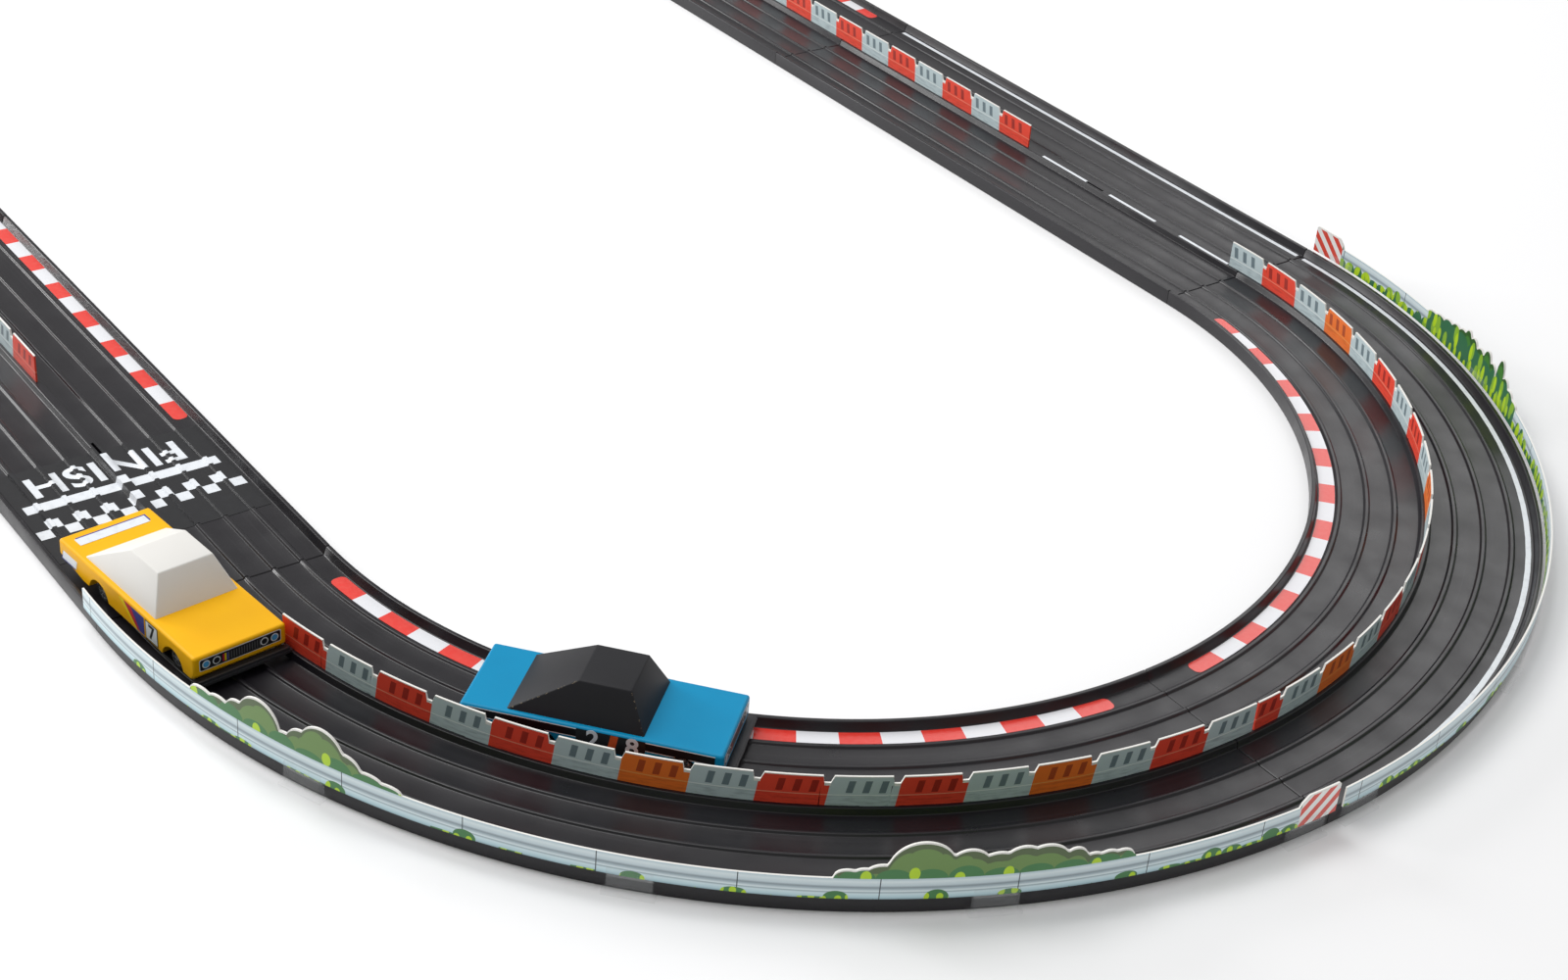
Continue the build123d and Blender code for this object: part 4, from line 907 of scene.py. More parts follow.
@dataclass
class TrackSection:
    """One moulded section: rounded profile, chamfered ends, median slots, cross bars and tongues.

    Attributes:
        circuit: the circuit's sizes.
        length: length of the section along its middle line in millimetres.
        steps: number of pieces that a bent section is cut into.
    """

    circuit: Circuit
    length: float
    steps: int = 1
    rounding: float = 0.32
    chamfer: float = 0.4
    slot_length: float = 15.6
    slot_width: float = 1.3
    slot_depth: float = 4.2
    bars: Sequence[float] = (0.125, 0.375, 0.615, 0.86)
    tongue: tuple[float, float, float] = (28.0, 12.0, 1.3)

    def profile(self, name: str) -> bpy.types.Object:
        """Make the section's outline as one upright face across X."""
        c = self.circuit
        bpy.ops.mesh.primitive_plane_add(size=1.0, rotation=(0, math.pi / 2, 0),
                                         location=(0, 0, (c.deck + c.under) / 2 * MM))
        piece = bpy.context.active_object
        piece.scale = ((c.deck - c.under) * MM, c.width * MM, 1.0)
        settle(piece, name)
        half = c.width / 2
        base = [s * (half - f) for s in (1, -1) for f in (c.wall_base, c.wall_base + 0.05)]
        slot = [-self.slot_width / 2, self.slot_width / 2]
        middle = (c.deck + c.under) / 2 * MM
        with editing(piece):
            slice_at(c.breaks + base + slot, (0, 1, 0))
            mesh = bmesh.from_edit_mesh(piece.data)
            for vertex in mesh.verts:
                across = -vertex.co.y / MM
                vertex.co.z = (c.top(across) if vertex.co.z > middle else c.bottom(across)) * MM
            bmesh.update_edit_mesh(piece.data)
            bpy.ops.mesh.select_all(action="SELECT")
            bpy.ops.mesh.dissolve_faces()
            corners = [abs(p) for p in c.breaks] + [half]

            def corner(place: Vector) -> bool:
                """Say whether a vertex is a corner to round."""
                across = abs(place.y) / MM
                if place.z < 0.0001:
                    return across > half - 0.01 or abs(across - half + c.wall_base) < 0.01
                return place.z > c.deck * MM - 1e-6 and any(abs(across - p) < 0.01 for p in corners)

            pick(piece, Part.VERT, corner)
            bpy.ops.mesh.bevel(offset=self.rounding * MM, segments=3, affect="VERTICES")
        return piece

    def build(self, name: str) -> bpy.types.Object:
        """Make the section lying along X from 0, with outwards at -Y."""
        c = self.circuit
        piece = self.profile(name)
        piece.location.x = c.seam / 2 * MM
        settle(piece, name)
        body = self.length - c.seam - 2 * self.chamfer
        with editing(piece):
            for run in (self.chamfer, body, self.chamfer):
                bpy.ops.mesh.extrude_region_move(TRANSFORM_OT_translate={"value": (run * MM, 0, 0)})
            ends = (c.seam / 2 * MM, (self.length - c.seam / 2) * MM)
            pick(piece, Part.VERT, lambda p: p.z > 0.003 and min(abs(p.x - e) for e in ends) < 1e-6)
            bpy.ops.transform.translate(value=(0, 0, -0.3 * MM))
            if self.steps > 1:
                slice_at([self.length * n / self.steps for n in range(1, self.steps)], (1, 0, 0))
            for share in (1 / 3, 2 / 3):
                middle = self.length * share
                slice_at([middle - self.slot_length / 2, middle + self.slot_length / 2], (1, 0, 0))
                count = pick(piece, Part.FACE, lambda p: abs(p.x / MM - middle) < self.slot_length / 2
                             and abs(p.y / MM) < self.slot_width / 2 and p.z / MM > c.median - 0.01)
                if count:
                    bpy.ops.mesh.extrude_region_move(
                        TRANSFORM_OT_translate={"value": (0, 0, -self.slot_depth * MM)})
            bpy.ops.mesh.select_all(action="SELECT")
            bpy.ops.mesh.normals_make_consistent(inside=False)
        return self.join_underside(piece, name)

    def join_underside(self, piece: bpy.types.Object, name: str) -> bpy.types.Object:
        """Join the cross bars and the two connector tongues to the section."""
        c = self.circuit
        parts = [self.block((share * self.length, 0, 1.2), (1.8, c.width - 2 * c.wall_base, 1.4))
                 for share in self.bars]
        row = c.rib_first + c.rib_pitch
        parts += [self.block((self.length, side * row, 1.15), self.tongue) for side in (1, -1)]
        only(piece)
        for part in parts:
            part.select_set(True)
        bpy.ops.object.join()
        lay_uv(piece, lambda p: p.x, lambda p: p.y)
        return settle(piece, name)

    def block(self, place: tuple[float, float, float], size: tuple[float, float, float]) -> bpy.types.Object:
        """Add one bevelled block below the deck, in millimetres."""
        bpy.ops.mesh.primitive_cube_add(size=1.0, location=[v * MM for v in place])
        block = bpy.context.active_object
        block.scale = [v * MM for v in size]
        settle(block, "block")
        add_modifier(block, "BEVEL", width=0.25 * MM, segments=2)
        return block


@dataclass
class TrackOval:
    """The eight sections of the oval."""

    circuit: Circuit

    def build(self, plastic: bpy.types.Material) -> None:
        """Build every section from one straight and one bend."""
        c = self.circuit
        straight = TrackSection(c, c.straight, bars=(0.1, 0.5, 0.9)).build("near_section_1")
        smooth(straight)
        dress(straight, plastic)
        quarter = TrackSection(c, c.middle * math.pi / 2, steps=60).build("right_section_1")
        bend(quarter, c.middle)
        smooth(quarter)
        dress(quarter, plastic)
        places = [("near_section_2", "near_straight_2", 0, -c.straight, -c.middle),
                  ("far_section_1", "far_straight_1", 180, c.straight, c.middle),
                  ("far_section_2", "far_straight_2", 180, 0, c.middle),
                  ("near_section_1", "near_straight_1", 0, 0, -c.middle)]
        for name, cad, turn, x, y in places:
            piece = straight if name == straight.name else twin(straight, name)
            finish_piece(turned(piece, turn, x, y), "track", "track_plastic", cad)
        places = [("right_section_2", "right_bend_2", 90, c.straight),
                  ("left_section_1", "left_bend_1", 180, -c.straight),
                  ("left_section_2", "left_bend_2", 270, -c.straight),
                  ("right_section_1", "right_bend_1", 0, c.straight)]
        for name, cad, turn, x in places:
            piece = quarter if name == quarter.name else twin(quarter, name)
            finish_piece(turned(piece, turn, x), "track", "track_plastic", cad)


# ---------------------------------------------------------------- barrier cards
class Ink(Enum):
    """Colour of one barrier block, in the order of the card's material slots."""

    PALE = 0
    RED = 1
    ORANGE = 2


@dataclass
class BarrierCard:
    """A die-cut card of road barrier blocks that stands in the median's slots.

    Attributes:
        start: where the card begins, in millimetres along its line.
        end: where it ends.
        first: where its first whole block ends.
        inks: the blocks' colours in order.
        tabs: middles of the tabs.
        block: length of a block.
        low: height of the printed part's foot above the floor.
        high: height of the card's top edge.
        notch_floor: height of the bottom of a gap.
        notch: places of a gap's four corners, counted from its middle.
        tab_half: half the width of a tab.
        tab_depth: how far a tab reaches below the foot.
        thickness: thickness of the card.
        cut_edge: width of the unprinted border.
    """

    start: float
    end: float
    first: float
    inks: Callable[[int], Ink]
    tabs: Sequence[float]
    block: float = 26.0
    low: float = 6.75
    high: float = 20.4
    notch_floor: float = 17.2
    notch: tuple[float, float, float, float] = (-2.1, -1.6, 0.8, 2.1)
    tab_half: float = 7.5
    tab_depth: float = 3.9
    thickness: float = 0.8
    cut_edge: float = 0.45

    def notches(self) -> list[float]:
        """Places of the gaps between blocks."""
        count = math.ceil((self.end - self.first) / self.block)
        return [self.first + self.block * n for n in range(count)]

    def top(self, x: float) -> float:
        """Height of the card's top edge at a place along it."""
        drop = self.high - self.notch_floor
        a, b, c, d = self.notch
        for notch in self.notches():
            off = x - notch
            if a <= off <= d:
                if off < b:
                    return self.high - drop * (off - a) / (b - a)
                if off > c:
                    return self.notch_floor + drop * (off - c) / (d - c)
                return self.notch_floor
        return self.high

    def build(self, name: str, curved: bool) -> bpy.types.Object:
        """Cut the card flat along X: printed faces, a white cut edge round the top, and its tabs."""
        piece = panel(name, (self.start, self.end), (self.low, self.high))
        cuts = [n + off for n in self.notches() for off in self.notch]
        if curved:
            count = int((self.end - self.start) / 3.3)
            cuts += [self.start + (self.end - self.start) * n / count for n in range(1, count)]
        cuts += [t + s * self.tab_half for t in self.tabs for s in (1, -1)]
        cuts = [x for x in cuts if self.start < x < self.end]
        with editing(piece):
            slice_at(sorted(cuts), (1, 0, 0))
            slice_at([self.notch_floor - 1.2], (0, 0, 1))
            slice_at([self.high - self.cut_edge], (0, 0, 1))
            mesh = bmesh.from_edit_mesh(piece.data)
            for vertex in mesh.verts:
                height = vertex.co.z / MM
                top = self.top(vertex.co.x / MM)
                if height > self.high - 0.01:
                    vertex.co.z = top * MM
                elif height > self.high - self.cut_edge - 0.01:
                    vertex.co.z = (top - self.cut_edge) * MM
            # the colour boundary between two blocks leans, as the notch's right side does
            for vertex in mesh.verts:
                if vertex.co.z / MM < self.low + 0.01:
                    near = min(self.notches(), key=lambda n: abs(n - vertex.co.x / MM))
                    if abs(vertex.co.x / MM - near) < 2.2 and self.start < vertex.co.x / MM < self.end:
                        vertex.co.x -= 1.2 * MM
            bmesh.update_edit_mesh(piece.data)
            for tab in self.tabs:
                pick(piece, Part.EDGE, lambda p: abs(p.x / MM - tab) < self.tab_half - 0.1
                     and p.z / MM < self.low + 0.01)
                bpy.ops.mesh.extrude_region_move(
                    TRANSFORM_OT_translate={"value": (0, 0, -self.tab_depth * MM)})
        for face in piece.data.polygons:
            x, z = face.center.x / MM, face.center.z / MM
            count = sum(1 for n in self.notches() if x > n - 0.4)
            ink = self.inks(count)
            gap = min(abs(x - n + 0.4) for n in self.notches()) < 1.2
            bare = z > self.top(x) - self.cut_edge or (gap and z > self.notch_floor - 1.2)
            face.material_index = 3 if bare else ink.value
        lay_uv(piece, lambda p: p.x - (self.first - self.block) * MM, lambda p: p.z)
        add_modifier(piece, "SOLIDIFY", thickness=self.thickness * MM, offset=0.0, use_rim=True,
                     material_offset_rim=3)
        return piece


@dataclass
class Barriers:
    """All six barrier cards.

    Attributes:
        circuit: the circuit's sizes.
        blocks: number of blocks of a full card.
        block: length of a block in millimetres.
        first_from: angle where the first bend card begins, in degrees.
        second_span: angles where the second one begins and ends.
        second_notch: angle of its first gap.
        near_end: where the near straight's card ends along X, in millimetres.
        far_end: where the far straight's card ends.
    """

    circuit: Circuit
    blocks: int = 16
    block: float = 26.0
    first_from: float = -79.9
    second_span: tuple[float, float] = (2.1, 91.5)
    second_notch: float = 4.97
    near_end: float = 162.0
    far_end: float = 174.6

    def arc(self, degrees: float) -> float:
        """Length along the median from the lowest point of a bend to an angle."""
        return math.radians(degrees + 90) * self.circuit.middle

    def build(self, materials: Sequence[bpy.types.Material]) -> None:
        """Build the cards of the right half and turn copies to the left."""
        c = self.circuit
        full = self.blocks * self.block
        begin = self.arc(self.first_from)
        first = BarrierCard(begin, begin + full, begin + self.block,
                            lambda n: Ink.PALE if n % 2 else (Ink.ORANGE if n in (6, 12) else Ink.RED),
                            (self.arc(-60), self.arc(-30)))
        begin, end = (self.arc(angle) for angle in self.second_span)
        second = BarrierCard(begin, end, self.arc(self.second_notch),
                             lambda n: Ink.PALE if n % 2 else (Ink.ORANGE if n % 6 == 2 else Ink.RED),
                             (self.arc(30), self.arc(60)))
        for index, card in enumerate((first, second), 1):
            piece = card.build(f"right_card_{index}", True)
            bend(piece, c.middle)
            dress(piece, *materials)
            smooth(piece, 20)
            left = twin(piece, f"left_card_{index}")
            finish_piece(turned(piece, 0, c.straight), "track", "barrier_card", f"right_barrier_{index}")
            finish_piece(turned(left, 180, -c.straight), "track", "barrier_card", f"left_barrier_{index}")
        third = c.straight / 3
        for side, end in (("near", self.near_end), ("far", self.far_end)):
            # the far card is built turned round, as it faces the other way
            start = end - full if side == "near" else -end
            tabs = [t if side == "near" else -t for t in (third, -third, -2 * third)]
            odd = 1 if side == "near" else 0
            card = BarrierCard(start, start + full, start + self.block,
                               lambda n, odd=odd: Ink.RED if n % 2 == odd else Ink.PALE, tabs)
            piece = card.build(f"{side}_card", False)
            dress(piece, *materials)
            turn = 0 if side == "near" else 180
            y = -c.middle if side == "near" else c.middle
            finish_piece(turned(piece, turn, 0, y), "track", "barrier_card", f"{side}_barrier")


# ---------------------------------------------------------------- scenery boards
@dataclass
class SceneryBoard:
    """A die-cut board: crash rail, hedge outline above it and a striped panel at its end.

    Attributes:
        start: first angle of the board in degrees.
        arc: how many degrees it covers.
        domes: angle, half width and rise above the rail of each dome of the hedge's outline.
    """

    circuit: Circuit
    start: float
    arc: float
    domes: Sequence[tuple[float, float, float]]
    gap: float = 1.6
    low: float = 7.9
    rail: float = 17.2
    panel_top: float = 22.0
    panel_arc: float = 3.3
    thickness: float = 0.8
    step: float = 0.9
    cut_edge: float = 0.75

    @property
    def radius(self) -> float:
        """Radius of the board's middle surface."""
        return self.circuit.outer + self.gap

    def arc_length(self, degrees: float) -> float:
        """Length along the board from the lowest point of the bend to an angle."""
        return math.radians(degrees + 90) * self.radius

    @property
    def panel_start(self) -> float:
        """Where the striped panel begins along the board."""
        return self.arc_length(self.start + self.arc - self.panel_arc)

    def hedge(self, x: float) -> float:
        """Rise of the hedge's outline above the rail at a place along the board."""
        rise = 0.0
        for angle, half, peak in self.domes:
            off = (x - self.arc_length(angle)) / half
            if abs(off) < 1:
                rise = max(rise, peak * (1 - off * off) ** 0.4)
        return rise

    def top(self, x: float) -> float:
        """Height of the board's outline at a place along it."""
        past = x - self.panel_start
        if past > 0:
            left = self.arc_length(self.start + self.arc) - x
            return self.panel_top - max(0.0, 3.2 - past) * 0.9 - max(0.0, 0.8 - left)
        return self.rail + self.hedge(x)

    def build(self, name: str) -> bpy.types.Object:
        """Cut the board flat along X, sort its faces by their print and wrap it round the bend."""
        x0, x1 = self.arc_length(self.start), self.arc_length(self.start + self.arc)
        count = int((x1 - x0) / self.step)
        bpy.ops.mesh.primitive_grid_add(x_subdivisions=count, y_subdivisions=3, size=1.0,
                                        rotation=(math.pi / 2, 0, 0),
                                        location=((x0 + x1) / 2 * MM, 0, 0.5 * MM))
        piece = bpy.context.active_object
        piece.scale = ((x1 - x0) * MM, MM, 1.0)
        settle(piece, name)
        rows = sorted({round(v.co.z, 7) for v in piece.data.vertices})
        for vertex in piece.data.vertices:
            row = min(range(len(rows)), key=lambda n: abs(rows[n] - vertex.co.z))
            top = self.top(vertex.co.x / MM)
            vertex.co.z = (self.low, (self.low + self.rail) / 2, top - self.cut_edge, top)[row] * MM
        lay_uv(piece, lambda p: p.x, lambda p: p.z)
        add_modifier(piece, "SOLIDIFY", thickness=self.thickness * MM, offset=0.0, use_rim=True)
        rises = piece.data.attributes.new("hedge", "FLOAT", "POINT")
        rises.data.foreach_set("value", [self.hedge(v.co.x / MM) * MM for v in piece.data.vertices])
        for face in piece.data.polygons:
            x, z = face.center.x / MM, face.center.z / MM
            border = z > self.top(x) - self.cut_edge and self.top(x) > self.rail + 0.1
            if abs(face.normal.y) < 0.5 or border:
                face.material_index = 1
            elif x > self.panel_start:
                face.material_index = 2
            else:
                face.material_index = 3 if face.normal.y > 0 else 0
        bend(piece, self.radius)
        smooth(piece, 25)
        return piece


@dataclass
class Scenery:
    """The four scenery boards."""

    circuit: Circuit
    low_domes: Sequence[tuple[float, float, float]] = (
        (-76.5, 7, 4.2), (-74.9, 7, 5.2), (-73.2, 7, 8.5), (-71.4, 11, 14.6), (-69.2, 7, 6.0),
        (-67.9, 8, 10.5), (-66.4, 11, 15.4), (-64.7, 8, 8.5), (-63.0, 7, 4.0), (-61.6, 6, 2.4),
        (-33.3, 5, 4.0), (-32.3, 5, 4.6),
        (-31.2, 7, 6.4), (-28.9, 13, 16.4), (-27.3, 8, 10.0), (-26.1, 9, 12.3), (-24.3, 9, 10.2),
        (-22.8, 9, 12.0), (-21.4, 10, 11.6), (-19.5, 5.5, 8.6), (-18.3, 5, 5.0), (-17.3, 5, 5.0),
        (-16.4, 5, 4.4))
    high_domes: Sequence[tuple[float, float, float]] = (
        (73.5, 5, 2.4), (72.5, 5, 3.6), (71.2, 5, 5.0), (70.0, 5, 6.4), (68.9, 5, 7.2), (68.0, 4, 9.6),
        (67.0, 4.5, 8.2), (65.7, 4.5, 6.8), (64.4, 4.5, 9.8), (63.3, 4, 6.6), (61.8, 4.2, 13.4),
        (60.6, 4.5, 7.4), (59.4, 4.5, 4.6), (58.3, 4.5, 2.6))

    def build(self, materials: Sequence[bpy.types.Material]) -> None:
        """Build the right boards and turn copies to the left."""
        c = self.circuit
        boards = (SceneryBoard(c, -91.2, 91.3, self.low_domes), SceneryBoard(c, 0.8, 88.8, self.high_domes))
        for index, board in enumerate(boards, 1):
            piece = board.build(f"right_board_{index}")
            dress(piece, *materials)
            left = twin(piece, f"left_board_{index}")
            finish_piece(turned(piece, 0, c.straight), "track", "scenery_card", f"right_scenery_{index}")
            finish_piece(turned(left, 180, -c.straight), "track", "scenery_card", f"left_scenery_{index}")


# ---------------------------------------------------------------- film on the deck
@dataclass
class DeckFilm:
    """Kerb strips, and the finish line's band, chequers and lettering, in millimetres.

    Attributes:
        circuit: the circuit's sizes.
        kerb: length of one red or white field.
        kerb_in: inner radius of the bends' kerbs.
        kerb_out: their outer radius.
        kerb_spans: first and last angle of each kerb of the right bend, in degrees.
        film: thickness of the film.
        band: where the finish band begins and ends along X.
        band_span: its ends across the lanes.
        rows: where the two rows of chequers lie along X.
        square: width of a chequer.
        squares: number of chequers in both rows.
        square_start: where the first chequer begins across the lanes.
        word_corner: nearest corner of the lettering.
        word_size: size of the lettering along X and across.
    """

    circuit: Circuit
    kerb: float = 16.5
    kerb_in: float = 243.9
    kerb_out: float = 251.1
    kerb_spans: Sequence[tuple[float, float]] = ((-85.8, -5.4), (4.9, 83.2))
    film: float = 0.12
    band: tuple[float, float] = (253.3, 259.6)
    band_span: tuple[float, float] = (-336.0, -248.0)
    rows: Sequence[tuple[float, float]] = ((273.8, 280.2), (267.2, 273.8))
    square: float = 6.2
    squares: int = 15
    square_start: float = -245.4
    word_corner: tuple[float, float] = (232.9, -258.8)
    word_size: tuple[float, float] = (16.6, 69.0)

    def strip(self, name: str, x: tuple[float, float], y: tuple[float, float],
              curved: bool) -> bpy.types.Object:
        """Cut one kerb strip with rounded ends, with whole red and white fields and red ends."""
        piece = sheet(name, x, y, self.circuit.deck + self.film)
        fields = round((x[1] - x[0]) / self.kerb)
        fields += 1 - fields % 2
        with editing(piece):
            bpy.ops.mesh.bevel(offset=2.6 * MM, segments=5, affect="VERTICES")
            if curved:
                slice_at([x[0] + (x[1] - x[0]) * n / 90 for n in range(1, 90)], (1, 0, 0))
        lay_uv(piece, lambda p: (p.x - x[0] * MM) * fields * self.kerb / (x[1] - x[0]), lambda p: p.y)
        add_modifier(piece, "SOLIDIFY", thickness=(self.film - 0.02) * MM, offset=-1.0)
        return piece

    def kerbs(self, print_: bpy.types.Material) -> None:
        """Lay the kerbs of both bends and both straights as one piece."""
        c = self.circuit
        middle = (self.kerb_in + self.kerb_out) / 2
        half = (self.kerb_out - self.kerb_in) / 2
        strips = []
        for n, (low, high) in enumerate(self.kerb_spans):
            x = [math.radians(a + 90) * middle for a in (low, high)]
            strip = self.strip(f"kerb_{n}", (x[0], x[1]), (-half, half), True)
            bend(strip, middle)
            copy = twin(strip, f"kerb_left_{n}")
            strips += [turned(strip, 0, c.straight), turned(copy, 180, -c.straight)]
        near = self.strip("kerb_near", (-c.straight + 60, 217.8), (-250.4, -243.5), False)
        far = self.strip("kerb_far", (-217.8, -26.0), (c.outer - 10.4, c.outer - 3.5), False)
        only(near)
        for strip in strips + [far]:
            strip.select_set(True)
        bpy.ops.object.join()
        settle(near, "kerb_print")
        dress(near, print_)
        finish_piece(near, "track", "kerb_print", "kerb_stickers")

    def finish_line(self, ink: bpy.types.Material) -> None:
        """Print the band and two rows of chequers, draped over the ribs."""
        c = self.circuit
        fields = [sheet("finish_band", self.band, self.band_span, c.deck)]
        for n in range(self.squares):
            y = self.square_start - self.square * n
            fields.append(sheet(f"square_{n}", self.rows[n % 2], (y - self.square, y), c.deck))
        only(fields[0])
        for square in fields:
            square.select_set(True)
        bpy.ops.object.join()
        self.lay(fields[0], "finish_chequer", ink)

    def lettering(self, ink: bpy.types.Material) -> None:
        """Print the generic word across the lane, to be read by a driver who reaches the line."""
        bpy.ops.object.text_add()
        text = bpy.context.active_object
        text.data.body = "FINISH"
        text.data.size = 22.5 * MM
        text.data.offset = 0.45 * MM
        text.data.space_character = 1.04
        text.data.resolution_u = 6
        bpy.ops.object.convert(target="MESH")
        text.rotation_euler = (0, 0, -math.pi / 2)
        settle(text, "finish_word")
        low = Vector([min(v.co[n] for v in text.data.vertices) for n in range(3)])
        high = Vector([max(v.co[n] for v in text.data.vertices) for n in range(3)])
        text.scale = (self.word_size[0] * MM / (high.x - low.x), self.word_size[1] * MM / (high.y - low.y), 1)
        text.location = (self.word_corner[0] * MM - low.x * text.scale.x,
                         self.word_corner[1] * MM - high.y * text.scale.y, 0)
        self.lay(settle(text, "finish_word"), "finish_word", ink)

    def lay(self, piece: bpy.types.Object, name: str, ink: bpy.types.Material) -> None:
        """Cut a flat print at the ribs, drape it on the film and give it a body."""
        with editing(piece):
            bpy.ops.mesh.remove_doubles(threshold=1e-6)
            slice_at(self.circuit.rib_cuts(), (0, 1, 0))
        self.circuit.drape(piece, self.film + 0.06)
        settle(piece, name)
        dress(piece, ink)
        finish_piece(piece, "track", "line_print")

    def build(self, print_: bpy.types.Material, ink: bpy.types.Material) -> None:
        """Lay all the film."""
        self.kerbs(print_)
        self.finish_line(ink)
        self.lettering(ink)


# ---------------------------------------------------------------- cars
@dataclass
class CarFrame:
    """A car's own axes in the shared frame, read from its axles.

    Attributes:
        colour: the car's name in the frame.
        rear_axle: distance of the rear axle from the car's middle in millimetres.
    """

    colour: str
    rear_axle: float = -20.4

    @property
    def matrix(self) -> Matrix:
        """Matrix from the car's axes, with X forwards and Y to its left, to the shared frame."""
        joints = {j["name"]: j for j in frame["joints"]}
        rear = Vector(joints[f"{self.colour}_rear_spin"]["pos_m"])
        front = Vector(joints[f"{self.colour}_front_spin"]["pos_m"])
        forwards = (front - rear).normalized()
        middle = rear - forwards * self.rear_axle * MM
        turn = math.atan2(forwards.y, forwards.x)
        return Matrix.Translation((middle.x, middle.y, 0)) @ Matrix.Rotation(turn, 4, "Z")

    def put(self, piece: bpy.types.Object, name: str) -> bpy.types.Object:
        """Move a piece made in the car's own axes to the car, in its mesh."""
        piece.matrix_world = self.matrix @ piece.matrix_world
        return settle(piece, name)


@dataclass
class CarLivery:
    """Finishes of one car."""

    body: bpy.types.Material
    cabin: bpy.types.Material
    digits: bpy.types.Material


